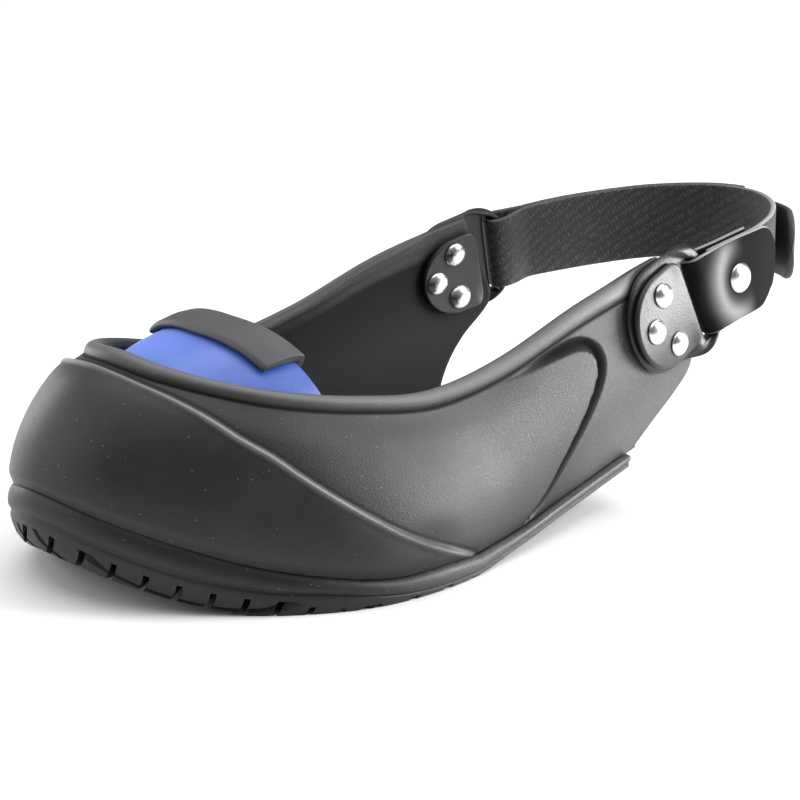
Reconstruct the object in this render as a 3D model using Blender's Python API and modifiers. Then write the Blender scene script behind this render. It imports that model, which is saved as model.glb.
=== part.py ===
"""Safety toe overshoe: rubber sole, rubber toe box with two wings, metal toe cap and a heel strap.

Frame: +X to the toe, +Y to the wearer's left, +Z up. The origin is the middle of the flat tread.
Sizes are in millimetres. make_object turns them into metres.
"""
import math

import bmesh
import bpy
import numpy as np
from mathutils import Matrix, Vector

MM = 0.001
GAP = 0.3
MERGE = 0.005
PARTS = "safety_toe_overshoe"
CUTTERS = "cutters"
SHARP_ANGLE = 35.0

# Looks of the parts. Columns: colour, roughness, metallic
MATERIALS = {
    "black_rubber": ((0.018, 0.018, 0.020), 0.55, 0.0),
    "tread_rubber": ((0.012, 0.012, 0.013), 0.70, 0.0),
    "blue_coated_metal": ((0.055, 0.110, 0.620), 0.38, 0.3),
    "black_leather": ((0.022, 0.022, 0.024), 0.45, 0.0),
    "black_webbing": ((0.010, 0.010, 0.012), 0.90, 0.0),
    "plated_metal": ((0.720, 0.720, 0.740), 0.22, 1.0),
}

# Upper: half of the ribs of the wall, from the toe apex (rib 0) back along one side.
# Columns: foot_x, foot_y, rim_x, rim_y, rim_z, belly, crown, shoulder
RIBS = np.array((
    (86.5, 0.0, 56.2, 0.0, 68.1, 0.4, 17.8, 4.0),
    (81.0, 19.5, 53.2, 15.0, 66.2, 0.2, 15.4, 5.0),
    (66.5, 36.5, 44.8, 28.5, 63.3, 0.8, 11.2, 6.0),
    (44.0, 50.0, 30.0, 39.0, 60.0, 3.5, 9.0, 9.0),
    (17.0, 59.5, 9.0, 45.0, 56.5, 4.0, 8.0, 11.0),
    (-12.0, 62.0, -15.0, 48.0, 54.5, 4.0, 7.0, 12.0),
    (-41.0, 57.0, -42.0, 49.0, 59.5, 5.0, 6.0, 15.0),
    (-69.0, 50.0, -76.0, 48.5, 71.0, 8.0, 5.0, 20.0),
    (-98.0, 43.0, -111.0, 46.0, 79.0, 11.0, 4.0, 25.0),
    (-129.0, 36.0, -140.0, 41.5, 82.0, 11.0, 4.0, 25.0),
))
LAST_RIB = len(RIBS) - 1
WALL = 2.6
SWING = 5.0
SWING_FROM = -15.0
SWING_LENGTH = 110.0
MEDIAL_DROP = 3.0
DROP_FROM = 45.0
DROP_LENGTH = 50.0
DROP_WIDTH = 15.0
DROP_REAR = (0.3, -35.0, 70.0)
BELLY_HEIGHT = 0.38
# The lateral side is wider at the ball. Columns: reach outwards, rib of the widest place, spread in ribs
BULGE = (6.0, 3.8, 1.2)

# Guide lines of the wall. Columns: height share t, rib number on either side
TOE_PANEL_EDGE = np.array((
    (-0.3, 5.25), (0.0, 5.25), (0.16, 4.55), (0.35, 3.91), (0.55, 3.16),
    (0.75, 1.97), (0.83, 1.59), (0.92, 0.94), (0.97, 0.45), (1.0, 0.35),
))
SIDE_PANEL_EDGE = np.array((
    (-0.3, 6.3), (0.0, 6.3), (0.22, 6.79), (0.42, 7.05), (0.56, 7.16), (0.73, 7.10), (0.82, 6.95),
    (1.0, 6.9),
))
# Columns: height share t, rib number of the wing end on the lateral side, on the medial side
WING_END = np.array((
    (-0.3, 8.20, 7.98), (0.0, 8.32, 7.98), (0.10, 8.50, 8.08), (0.20, 8.70, 8.20), (0.30, 8.82, 8.34),
    (0.38, 8.80, 8.48), (0.45, 8.71, 8.56), (0.55, 8.57, 8.52), (0.65, 8.42, 8.40), (0.73, 8.29, 8.29),
    (0.81, 8.19, 8.19), (0.88, 8.10, 8.10), (1.0, 7.98, 7.98),
))
TOE_STEP = 1.3
SIDE_STEP = 1.3
EDGE_RIBS = 0.06
# Rolled rim: distance below the rim, offset outwards, from the outside over the top to the inside
RIM_BEAD = np.array((
    (5.8, -0.4), (4.0, 1.0), (1.8, 1.3), (0.2, 0.2), (0.2, -2.0), (1.8, -3.1), (4.0, -2.9), (5.8, -2.6),
))
BEAD_ENDS = (7.2, 7.7)
SHARES = (0.0, 0.03, 0.12, 0.25, 0.38, 0.5, 0.65, 0.8)
COLUMNS_TOE = 12
COLUMNS_SIDE = 10
COLUMNS_WING = 7

# Outsole
LIP_BALL = 7.0
LIP_TOE = 17.0
LIP_RISE_FROM = 5.0
LIP_RISE_LENGTH = 70.0
LIP_REAR = 4.4
LIP_FALL_FROM = -5.0
LIP_FALL_LENGTH = 45.0
FLAT_REAR = -22.0
FLAT_FRONT = 41.0
SPRING_RADIUS = 80.0
REAR_RISE = 9.0
REAR_LENGTH = 58.0
REAR_POWER = 1.05
SOLE_TOP = 4.6
TREAD_DEPTH = 2.6
SOLE_END_RIB = 8.08
SOLE_STATIONS = 64
REAR_STATIONS = 7
REAR_CORNER = 0.003
# Side of the sole. Columns: offset outwards from the foot line, height (flat, over the tread)
SOLE_SIDE = ((0.3, 4.6), (0.3, 7.0), (1.8, 6.5), (2.7, 5.4), (2.2, 3.6), (1.9, 0.0))
TOE_INSET = 3.0
INSET_FROM = 40.0
INSET_LENGTH = 45.0
REAR_BOW = 3.0
REAR_LIP = 0.4
GROOVE_PITCH = 20.0
GROOVE_WIDTH = 3.0
GROOVE_ANGLES = (45.0, -45.0)
GROOVE_LINES = 11
GROOVE_LENGTH = 440.0
GROOVE_BELOW = 2.0
BEND_STATIONS = (-88.0, -74.0, -60.0, -48.0, -37.0, -28.0, 50.0, 62.0, 74.0)

# Toe cap: a dome over the toe whose rear rim is a wide arch
CAP_REAR = 20.0
CAP_LENGTH = 61.0
CAP_HALF_WIDTH = 46.0
CAP_PLAN_POWER = 2.4
CAP_TOP = 69.8
CAP_FRONT_POWER = 1.9
CAP_SIDE_POWER = 2.7
CAP_RAKE = 8.0
CAP_RAKE_WIDTH = 40.0
CAP_WALL = 1.8
CAP_LIFT = 0.5
CAP_ROWS = 21
CAP_COLUMNS = 11

# Guard on the rear rim of the cap: distance in front of the rim, offset over the cap
GUARD_SECTION = (
    (11.6, 0.5), (12.3, 1.6), (11.0, 2.8), (5.0, 3.4), (0.0, 3.4), (-2.4, 2.6), (-3.2, 0.5), (-3.2, -2.6),
    (-2.2, -4.4), (5.0, -4.4), (6.0, -3.4), (6.0, -2.3), (-0.5, -2.3), (-0.5, 0.4), (3.5, 0.45),
    (7.5, 0.45),
)
GUARD_HALF_WIDTH = 27.0
GUARD_STATIONS = 19

# Fittings at the end of each wing, in a flat frame: a to the rear along the strap, b across it
FITTING_RIB = {1: 7.97, -1: 7.93}
FITTING_SHARE = 0.725
FITTING_TILT = {1: 21.0, -1: 13.0}
LOOP_FRONT = 16.5
LOOP_HALF = 17.6
LOOP_REAR = 22.8
LOOP_REAR_HALF = 17.2
# How far the bar of each loop hangs below the middle of its plates, and over which length it gets there
LOOP_SAG = {1: 3.0, -1: 0.0}
SAG_LENGTH = 12.0
WINDOW_FRONT = 14.2
WINDOW_REAR = 18.9
WINDOW_HALF = 13.9
STRAIGHT_FROM = 6.0
STRAIGHT_BLEND = 6.0
LOOP_POINTS = 24
LOOP_LEVELS = (0.0, 0.33, 0.66, 1.0)
LOOP_POWER = 0.45
WINDOW_POWER = 0.3
# Plates. Columns: reach to the front, to the rear, half width
OUTER_PLATE = (15.8, 11.2, 15.2)
INNER_PLATE = (13.0, 9.5, 13.2)
PLATE_POINTS = 20
PLATE_POWER = 0.28
PLATE_MIDDLE = -1.0
# Depths over the outside of the wall
LAYERS = {"loop": (0.45, 2.7), "outer_plate": (3.55, 5.0), "inner_plate": (-5.0, -3.5)}
RIVETS = {"top": (0.0, 8.2), "front": (-8.0, 0.3), "bottom": (0.0, -8.2)}
RIVET_HEAD = 4.0
RIVET_DOME = 2.0
SHANK = 2.0
DOME_CURVE = ((0.0, 1.0), (0.55, 0.8))
RIVET_SIDES = 10
RIVET_REACH = 0.35
HOLE_SIDES = 8
HOLE_RADIUS = 2.35
HOLE_LENGTH = 18.0

# Strap: middle line of the band, from the lateral bar round the heel to the medial bar
STRAP_LINE = np.array((
    (-140.5, 46.8, 67.2), (-151.5, 45.2, 68.6), (-161.0, 41.0, 69.0), (-169.7, 36.0, 69.0),
    (-177.6, 30.0, 69.0), (-184.8, 23.0, 69.0), (-190.6, 14.6, 68.9), (-194.0, 5.0, 68.7),
    (-194.0, -6.0, 68.3), (-189.6, -16.8, 67.6), (-179.0, -29.0, 66.4), (-164.0, -37.5, 65.0),
    (-147.0, -42.4, 63.8),
))
BAND_WIDTH = 25.0
BAND_THICK = 1.8
TAB_WIDTH = 26.5
TAB_THICK = 1.5
TAB_OUTER = 37.0
TAB_INNER = 24.0
# The tab stays straight where the band turns in, so its tip stands off the band
TAB_LIFT = 1.2
FOLD_RADIUS = 3.6
LEAF_OFFSET = 2.1
LEAF_BLEND = 12.0
TURN_BLEND = 32.0
FOLD_STEPS = 9
TIP_ROUND = 13.0
TIP_LEAST = 0.3
BAND_START = 6.0
RETURN_OFFSET = 2.15
RETURN_END = 90.0
PULL_TAB = 30.0
PULL_WIDTH = 24.0
PULL_THICK = 2.2
PULL_FLARE = 4.0
PULL_ROUND = 9.0
PULL_LIFT = 0.2
PULL_DROP = 2.5
TAB_RIVET_AT = 14.0
TAB_RIVET_HEAD = 4.9
TAB_RIVET_REACH = 0.75
BAR_AT = 20.85
BAR_DEPTH = 1.5


def smooth(value):
    share = np.clip(value, 0.0, 1.0)
    return share * share * (3.0 - 2.0 * share)


def clear_scene():
    for item in list(bpy.data.objects):
        bpy.data.objects.remove(item)


def new_collection(name):
    group = bpy.data.collections.new(name)
    bpy.context.scene.collection.children.link(group)
    return group


def new_material(name):
    colour, roughness, metallic = MATERIALS[name]
    material = bpy.data.materials.new(name)
    material.use_nodes = True
    shader = material.node_tree.nodes["Principled BSDF"]
    shader.inputs["Base Color"].default_value = (*colour, 1.0)
    shader.inputs["Roughness"].default_value = roughness
    shader.inputs["Metallic"].default_value = metallic
    return material


def shaped_grid(points):
    """Grid whose rows and columns follow an array of points. Seams and poles are merged later."""
    rows, columns = points.shape[:2]
    work = bmesh.new()
    bmesh.ops.create_grid(work, x_segments=columns - 1, y_segments=rows - 1, size=1.0)
    work.verts.ensure_lookup_table()
    for vert, point in zip(work.verts, points.reshape(-1, 3)):
        vert.co = point
    return work


def closed(rows):
    """Rows of points with the first column repeated at the end, for a surface that runs round."""
    rows = np.asarray(rows)
    return np.concatenate((rows, rows[:, :1]), axis=1)


def merge(work):
    bmesh.ops.remove_doubles(work, verts=work.verts, dist=MERGE)


def make_object(name, work, material):
    """Object in the part's collection from a bmesh in millimetres."""
    bmesh.ops.scale(work, vec=(MM, MM, MM), verts=work.verts)
    mesh = bpy.data.meshes.new(name)
    work.to_mesh(mesh)
    work.free()
    mesh.shade_smooth()
    mesh.set_sharp_from_angle(angle=math.radians(SHARP_ANGLE))
    mesh.materials.append(bpy.data.materials[material])
    item = bpy.data.objects.new(name, mesh)
    bpy.data.collections[PARTS].objects.link(item)
    return item


def make_solid(name, work, material, split=True):
    """Object from a closed surface, with its faces turned outwards."""
    merge(work)
    bmesh.ops.recalc_face_normals(work, faces=work.faces)
    if split:
        bmesh.ops.triangulate(work, faces=work.faces)
    return make_object(name, work, material)


def make_sheet(name, points, thick, offset, material):
    """Object from an open surface with Solidify. offset -1 grows inwards, 0 to both sides."""
    work = shaped_grid(points)
    merge(work)
    bmesh.ops.triangulate(work, faces=work.faces)
    item = make_object(name, work, material)
    shell = item.modifiers.new("thickness", "SOLIDIFY")
    shell.thickness = thick * MM
    shell.offset = offset
    return item


def make_turned(name, start, axis, profile, material):
    """Turned object on an axis. profile runs from its top to its bottom: height, radius."""
    mesh = bpy.data.meshes.new(name)
    spots = [(radius * MM, 0.0, height * MM) for height, radius in profile]
    edges = [(i, i + 1) for i in range(len(spots) - 1)]
    mesh.from_pydata(spots, edges, [])
    mesh.materials.append(bpy.data.materials[material])
    item = bpy.data.objects.new(name, mesh)
    bpy.data.collections[PARTS].objects.link(item)
    item.location = Vector(start) * MM
    item.rotation_euler = Vector(axis).to_track_quat("Z", "Y").to_euler()
    screw = item.modifiers.new("turn", "SCREW")
    screw.axis = "Z"
    screw.steps = RIVET_SIDES
    screw.render_steps = RIVET_SIDES
    screw.use_merge_vertices = True
    screw.merge_threshold = MERGE * MM
    screw.use_smooth_shade = True
    return item


def make_cutter(name, work):
    bmesh.ops.scale(work, vec=(MM, MM, MM), verts=work.verts)
    mesh = bpy.data.meshes.new(name)
    work.to_mesh(mesh)
    work.free()
    item = bpy.data.objects.new(name, mesh)
    bpy.data.collections[CUTTERS].objects.link(item)
    item.hide_render = True
    item.display_type = "WIRE"
    return item


def drill(work, start, axis):
    turn = Vector(axis).to_track_quat("Z", "Y").to_matrix().to_4x4()
    place = Matrix.Translation(Vector(start)) @ turn
    bmesh.ops.create_cone(work, cap_ends=True, segments=HOLE_SIDES, radius1=HOLE_RADIUS,
                          radius2=HOLE_RADIUS, depth=HOLE_LENGTH, matrix=place)


def cut(item, cutter):
    step = item.modifiers.new(cutter.name, "BOOLEAN")
    step.operation = "DIFFERENCE"
    step.solver = "EXACT"
    step.object = cutter


# Shape of the sole and the wall

def spring(x):
    ahead = np.clip(np.asarray(x, float) - FLAT_FRONT, 0.0, SPRING_RADIUS * 0.95)
    behind = np.clip((FLAT_REAR - np.asarray(x, float)) / REAR_LENGTH, 0.0, None)
    return SPRING_RADIUS - np.sqrt(SPRING_RADIUS ** 2 - ahead ** 2) + REAR_RISE * behind ** REAR_POWER


def lip_height(x):
    rise = smooth((np.asarray(x, float) - LIP_RISE_FROM) / LIP_RISE_LENGTH)
    fall = smooth((LIP_FALL_FROM - np.asarray(x, float)) / LIP_FALL_LENGTH)
    return LIP_BALL + (LIP_TOE - LIP_BALL) * rise - (LIP_BALL - LIP_REAR) * fall


def sole_height(x, flat_z):
    stretch = (lip_height(x) - TREAD_DEPTH) / (LIP_BALL - TREAD_DEPTH)
    above = np.clip(flat_z - TREAD_DEPTH, 0.0, None) * stretch
    return spring(x) + np.minimum(flat_z, TREAD_DEPTH) + above


def swing(x):
    ahead = np.clip((np.asarray(x, float) - SWING_FROM) / SWING_LENGTH, 0.0, None)
    return -SWING * ahead ** 1.5


def both_sides():
    other = RIBS[1:][::-1].copy()
    other[:, 1] *= -1.0
    other[:, 3] *= -1.0
    return np.vstack((other, RIBS))


ALL_RIBS = both_sides()


def rib_at(rib):
    place = np.clip(np.asarray(rib, float) + LAST_RIB, 0.0, 2 * LAST_RIB - 1e-9)
    index = place.astype(int)
    share = (place - index)[..., None]
    top = 2 * LAST_RIB
    before = ALL_RIBS[np.clip(index - 1, 0, top)]
    start = ALL_RIBS[index]
    stop = ALL_RIBS[index + 1]
    after = ALL_RIBS[np.clip(index + 2, 0, top)]
    before = np.where((index == 0)[..., None], 2 * start - stop, before)
    after = np.where((index >= top - 1)[..., None], 2 * stop - start, after)
    first = (stop - before) * share
    second = (2 * before - 5 * start + 4 * stop - after) * share ** 2
    third = (3 * start - 3 * stop + after - before) * share ** 3
    return 0.5 * (2 * start + first + second + third)


def foot_line(rib):
    row = rib_at(rib)
    x = row[..., 0]
    reach, widest, spread = BULGE
    bulge = reach * np.exp(-((np.asarray(rib, float) - widest) / spread) ** 2)
    return np.stack((x, row[..., 1] + swing(x) + bulge, lip_height(x) + spring(x)), -1)


def foot_outward(rib):
    along = (foot_line(np.asarray(rib) + 0.02) - foot_line(np.asarray(rib) - 0.02))[..., :2]
    along = along / np.linalg.norm(along, axis=-1, keepdims=True)
    return np.stack((along[..., 1], -along[..., 0], 0.0 * along[..., 0]), -1)


def wall_point(rib, share):
    rib = np.asarray(rib, float)
    share = np.asarray(share, float)
    row = rib_at(rib)
    foot = foot_line(rib)
    out = foot_outward(rib)
    more, more_from, more_length = DROP_REAR
    drop = 0.5 * MEDIAL_DROP * (1.0 - np.tanh(row[..., 3] / DROP_WIDTH))
    drop = drop * smooth((DROP_FROM - row[..., 2]) / DROP_LENGTH)
    drop = drop * (1.0 + more * np.clip((more_from - row[..., 2]) / more_length, 0.0, 1.0))
    rim = np.stack((row[..., 2], row[..., 3] + swing(row[..., 2]), row[..., 4] - drop), -1)
    up = np.array((0.0, 0.0, 1.0))
    height = (rim - foot)[..., 2:3]
    low = foot + BELLY_HEIGHT * height * up + out * row[..., 5:6]
    high = rim - row[..., 7:8] * up + out * row[..., 6:7]
    t = np.clip(share, 0.0, None)[..., None]
    point = (1 - t) ** 3 * foot + 3 * (1 - t) ** 2 * t * low + 3 * (1 - t) * t ** 2 * high + t ** 3 * rim
    below = np.clip(-share, 0.0, None)[..., None]
    return point - below * up * 10.0


def wall_normal(rib, share):
    rib = np.asarray(rib, float)
    share = np.clip(share, 0.005, 0.995)
    along = wall_point(rib + 0.01, share) - wall_point(rib - 0.01, share)
    rise = wall_point(rib, share + 0.005) - wall_point(rib, share - 0.005)
    normal = np.cross(rise, along)
    return -normal / np.linalg.norm(normal, axis=-1, keepdims=True)


def wall_length(rib):
    shares = np.linspace(0.0, 1.0, 25)
    points = wall_point(np.full(25, float(rib)), shares)
    return np.sum(np.linalg.norm(np.diff(points, axis=0), axis=1))


def guide(table, share, column=1):
    return np.interp(share, table[:, 0], table[:, column])


def panel_step(rib, share):
    """Height of the panels over the plain wall, faded out at the foot and under the rim."""
    side = np.abs(rib)
    toe = smooth((guide(TOE_PANEL_EDGE, share) - side) / EDGE_RIBS + 0.5)
    panel = smooth((guide(SIDE_PANEL_EDGE, share) - side) / EDGE_RIBS + 0.5)
    fade = smooth((share - 0.02) / 0.06) * (1.0 - smooth((share - 0.8) / 0.08))
    return (TOE_STEP * toe + SIDE_STEP * panel * (1.0 - smooth((share - 0.76) / 0.1))) * fade


def column_ribs(share):
    """Rib numbers of all grid columns at one height share, from the medial wing end to the lateral one."""
    half = []
    for column in (1, 2):
        toe_edge = guide(TOE_PANEL_EDGE, share)
        side_edge = guide(SIDE_PANEL_EDGE, share)
        end = guide(WING_END, share, column)
        part = list(np.linspace(0.0, toe_edge - 0.6 * EDGE_RIBS, COLUMNS_TOE))
        part += list(np.linspace(toe_edge + 0.6 * EDGE_RIBS, side_edge - 0.6 * EDGE_RIBS, COLUMNS_SIDE))
        part += list(np.linspace(side_edge + 0.6 * EDGE_RIBS, end, COLUMNS_WING))
        half.append(part)
    return np.array([-r for r in half[1][:0:-1]] + half[0])


def wall_depth(rib):
    """How far the wall reaches down inside the lip of the sole, as a share below the foot line."""
    x = foot_line(rib)[..., 0]
    depth = lip_height(x) + spring(x) - sole_height(x, np.full_like(x, SOLE_TOP)) - GAP
    return depth / 10.0


def build_upper():
    rings = []
    base = column_ribs(0.0)
    rings.append((base, -wall_depth(base), np.zeros_like(base)))
    for share in SHARES:
        ribs = column_ribs(share)
        rings.append((ribs, np.full_like(ribs, share), panel_step(ribs, np.full_like(ribs, share))))
    crown = column_ribs(1.0)
    length = np.array([wall_length(r) for r in crown])
    fade = 1.0 - smooth((np.abs(crown) - BEAD_ENDS[0]) / (BEAD_ENDS[1] - BEAD_ENDS[0]))
    for below, offset in RIM_BEAD:
        share = 1.0 - below / length
        ribs = np.array([column_ribs(s)[i] for i, s in enumerate(share)])
        plain = 0.0 if offset > -1.0 else -WALL
        rings.append((ribs, share, plain + (offset - plain) * fade))
    for share in reversed(SHARES):
        ribs = column_ribs(share)
        rings.append((ribs, np.full_like(ribs, share), np.full_like(ribs, -WALL)))
    rings.append((base, -wall_depth(base), np.full_like(base, -WALL)))
    rows = [wall_point(r, s) + wall_normal(r, s) * offset[:, None] for r, s, offset in rings]
    rows = np.array(rows + rows[:1])
    work = shaped_grid(rows)
    columns = len(base)
    count = len(rings)
    for c in (0, columns - 1):
        for low in range(count // 2 - 1):
            high = count - 1 - low
            corners = [ring * columns + c for ring in (low, low + 1, high - 1, high)]
            work.faces.new([work.verts[i] for i in corners])
    return make_solid("upper", work, "black_rubber")


# Outsole

def sole_outline():
    ribs = np.linspace(SOLE_END_RIB, -SOLE_END_RIB, SOLE_STATIONS)
    foot = foot_line(ribs)[:, :2]
    out = foot_outward(ribs)[:, :2]
    return foot, out


def sole_ring(offset, inset):
    foot, out = sole_outline()
    reach = offset - inset * smooth((foot[:, 0] - INSET_FROM) / INSET_LENGTH)
    side = foot + out * reach[:, None]
    share = np.linspace(0.0, 1.0, REAR_STATIONS)[:, None]
    share = np.clip(share, REAR_CORNER, 1.0 - REAR_CORNER)
    rear = side[-1] + (side[0] - side[-1]) * share
    rear[:, 0] -= REAR_BOW * np.sin(np.pi * share[:, 0])
    return np.vstack((side, rear))


def build_sole_body():
    count = SOLE_STATIONS + REAR_STATIONS
    at_rear = np.arange(count) >= SOLE_STATIONS
    rows = []
    for index, (offset, height) in enumerate(SOLE_SIDE):
        ring = sole_ring(offset, TOE_INSET if index == len(SOLE_SIDE) - 1 else 0.0)
        level = np.full(count, height)
        if height > SOLE_TOP:
            low_lip = SOLE_TOP + REAR_LIP * (height - SOLE_TOP) / (LIP_BALL - SOLE_TOP)
            level = np.where(at_rear, low_lip, level)
        rows.append(np.column_stack((ring, level)))
    work = shaped_grid(closed(rows))
    verts = work.verts
    for i in range(SOLE_STATIONS // 2 - 1):
        work.faces.new([verts[k] for k in (i, i + 1, SOLE_STATIONS - 2 - i, SOLE_STATIONS - 1 - i)])
    work.faces.new([verts[k] for k in [0] + list(range(SOLE_STATIONS - 1, count))])
    last = (len(SOLE_SIDE) - 1) * (count + 1)
    work.faces.new([verts[last + k] for k in range(count)])
    return make_solid("outsole", work, "tread_rubber", split=False)


def groove_set(name, angle):
    """Bars that cut one direction of grooves. The lines keep half a pitch away from the origin."""
    work = bmesh.new()
    turn = Matrix.Rotation(math.radians(angle), 4, "Z")
    size = Matrix.Diagonal((GROOVE_LENGTH, GROOVE_WIDTH, TREAD_DEPTH + GROOVE_BELOW, 1.0))
    for step in range(-GROOVE_LINES, GROOVE_LINES):
        middle = Vector((0.0, (step + 0.5) * GROOVE_PITCH, 0.5 * (TREAD_DEPTH - GROOVE_BELOW)))
        bmesh.ops.create_cube(work, size=1.0, matrix=turn @ Matrix.Translation(middle) @ size)
    return make_cutter(name, work)


def apply_modifiers(item):
    bpy.context.view_layer.objects.active = item
    for step in list(item.modifiers):
        bpy.ops.object.modifier_apply(modifier=step.name)


def build_outsole():
    sole = build_sole_body()
    for number, angle in enumerate(GROOVE_ANGLES):
        cut(sole, groove_set("groove_cutter_%d" % number, angle))
    apply_modifiers(sole)
    work = bmesh.new()
    work.from_mesh(sole.data)
    for x in BEND_STATIONS:
        shape = work.verts[:] + work.edges[:] + work.faces[:]
        bmesh.ops.bisect_plane(work, geom=shape, dist=1e-7, plane_co=(x * MM, 0, 0), plane_no=(1, 0, 0))
    bmesh.ops.triangulate(work, faces=work.faces)
    for vert in work.verts:
        vert.co.z = float(sole_height(vert.co.x / MM, vert.co.z / MM)) * MM
    bmesh.ops.dissolve_degenerate(work, dist=2e-6, edges=work.edges)
    work.to_mesh(sole.data)
    work.free()
    return sole


# Toe cap and its guard

def cap_base(angle):
    share = (np.abs(np.cos(angle)) / CAP_LENGTH) ** CAP_PLAN_POWER
    share = share + (np.abs(np.sin(angle)) / CAP_HALF_WIDTH) ** CAP_PLAN_POWER
    return share ** (-1.0 / CAP_PLAN_POWER)


def cap_point(ahead, side):
    """Point of the cap over a plan place: distance in front of the rear rim, distance to the side."""
    ahead = np.asarray(ahead, float)
    side = np.asarray(side, float)
    angle = np.arctan2(side, np.clip(ahead, 1e-9, None))
    reach = cap_base(angle)
    share = np.clip(np.hypot(np.clip(ahead, 0.0, None), side) / reach, 0.0, 1.0)
    power = CAP_FRONT_POWER + (CAP_SIDE_POWER - CAP_FRONT_POWER) * np.sin(angle) ** 2
    rake = CAP_RAKE * (side / CAP_RAKE_WIDTH) ** 2
    foot_x = CAP_REAR + reach * np.cos(angle) - CAP_RAKE * (reach * np.sin(angle) / CAP_RAKE_WIDTH) ** 2
    base = sole_height(foot_x, np.full_like(foot_x, SOLE_TOP)) + CAP_LIFT
    x = CAP_REAR + ahead - rake
    z = base + (CAP_TOP - base) * (1.0 - share ** power) ** (1.0 / power)
    return np.stack((x, side + swing(x), z), -1)


def cap_grid(angles, shares):
    """Rows of cap points by direction and by share of the way from the top of the rear rim to the foot."""
    angle, share = np.meshgrid(angles, shares, indexing="ij")
    power = CAP_FRONT_POWER + (CAP_SIDE_POWER - CAP_FRONT_POWER) * np.sin(angle) ** 2
    turn = share * 0.5 * np.pi
    radius = cap_base(angle) * np.sin(turn) ** (2.0 / power)
    return cap_point(radius * np.cos(angle), radius * np.sin(angle))


def build_toe_cap():
    angles = np.linspace(-0.5 * np.pi, 0.5 * np.pi, CAP_ROWS)
    shares = np.linspace(0.0, 1.0, CAP_COLUMNS)
    return make_sheet("toe_cap", cap_grid(angles, shares), CAP_WALL, -1.0, "blue_coated_metal")


def guard_normal(ahead, side):
    front = cap_point(ahead + 0.2, side) - cap_point(ahead, side)
    across = cap_point(ahead, side + 0.2) - cap_point(ahead, side - 0.2)
    normal = np.cross(front, across)
    return normal / np.linalg.norm(normal)


def build_guard():
    rows = []
    for side in np.linspace(-GUARD_HALF_WIDTH, GUARD_HALF_WIDTH, GUARD_STATIONS):
        row = []
        for ahead, offset in GUARD_SECTION:
            held = max(ahead, 0.0)
            spot = cap_point(held, side) + guard_normal(held, side) * offset
            spot[0] += min(ahead, 0.0)
            row.append(spot)
        rows.append(row)
    work = shaped_grid(closed(rows))
    merge(work)
    bmesh.ops.holes_fill(work, edges=work.edges)
    return make_solid("toe_cap_guard", work, "black_rubber")


# Fittings of the wings

def fitting_frame(side):
    """Origin, rear axis, cross axis and outward normal of the fittings of one wing. side is 1 or -1."""
    rib = np.array(side * FITTING_RIB[side])
    share = np.array(FITTING_SHARE)
    normal = wall_normal(rib, share)
    rear = (wall_point(rib + side * 0.02, share) - wall_point(rib, share))
    rear[2] = 0.0
    rear = rear - normal * np.dot(rear, normal)
    rear = rear / np.linalg.norm(rear)
    up = np.cross(normal, rear) * side
    up = up if up[2] > 0 else -up
    tilt = math.radians(FITTING_TILT[side])
    a_axis = math.cos(tilt) * rear + math.sin(tilt) * up
    b_axis = -math.sin(tilt) * rear + math.cos(tilt) * up
    return wall_point(rib, share), a_axis, b_axis, normal


def fitting_place(side, a, b):
    """Rib and height share of the wall under flat fitting coordinates, by a few Newton steps."""
    origin, a_axis, b_axis, _ = fitting_frame(side)
    a = np.asarray(a, float)
    b = np.asarray(b, float)
    rib = np.full(a.shape, side * FITTING_RIB[side])
    share = np.full(a.shape, FITTING_SHARE)
    for _ in range(12):
        here = wall_point(rib, share)
        by_rib = (wall_point(rib + 0.01, share) - here) / 0.01
        by_share = (wall_point(rib, share + 0.005) - here) / 0.005
        miss_a = a - (here - origin) @ a_axis
        miss_b = b - (here - origin) @ b_axis
        m00 = by_rib @ a_axis
        m01 = by_share @ a_axis
        m10 = by_rib @ b_axis
        m11 = by_share @ b_axis
        det = m00 * m11 - m01 * m10
        rib = rib + np.clip((miss_a * m11 - miss_b * m01) / det, -0.4, 0.4)
        share = share + np.clip((m00 * miss_b - m10 * miss_a) / det, -0.3, 0.3)
    return rib, share


def fitting_point(side, a, b, depth):
    """Point at a depth over the wall. Behind the wing the surface is straight across, for the bar."""
    origin, a_axis, b_axis, normal = fitting_frame(side)
    a = np.asarray(a, float)
    b = np.asarray(b, float)
    here = wall_point(*fitting_place(side, a, b))
    middle = wall_point(*fitting_place(side, a, 0.0 * b))
    straight = smooth((a - STRAIGHT_FROM) / STRAIGHT_BLEND)
    rise = (1.0 - straight) * ((here - origin) @ normal) + straight * ((middle - origin) @ normal)
    lift = (rise + depth)[..., None]
    return origin + a[..., None] * a_axis + b[..., None] * b_axis + lift * normal


def loop_outline(side, count):
    angle = np.linspace(0.0, 2.0 * np.pi, count, endpoint=False)
    front = np.cos(angle) < 0.0
    a = np.where(front, LOOP_FRONT * np.cos(angle), 0.0)
    b = LOOP_HALF * np.sin(angle)
    power = LOOP_POWER
    rear_a = LOOP_REAR * np.abs(np.cos(angle)) ** power
    rear_b = np.sign(np.sin(angle)) * LOOP_HALF * np.abs(np.sin(angle)) ** power
    rear_b = rear_b * (1.0 - (1.0 - LOOP_REAR_HALF / LOOP_HALF) * smooth(rear_a / LOOP_REAR))
    rear_b = rear_b - np.where(rear_b < 0.0, LOOP_SAG[side], 0.0) * smooth(rear_a / SAG_LENGTH)
    return np.where(front, a, rear_a), np.where(front, b, rear_b)


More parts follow.
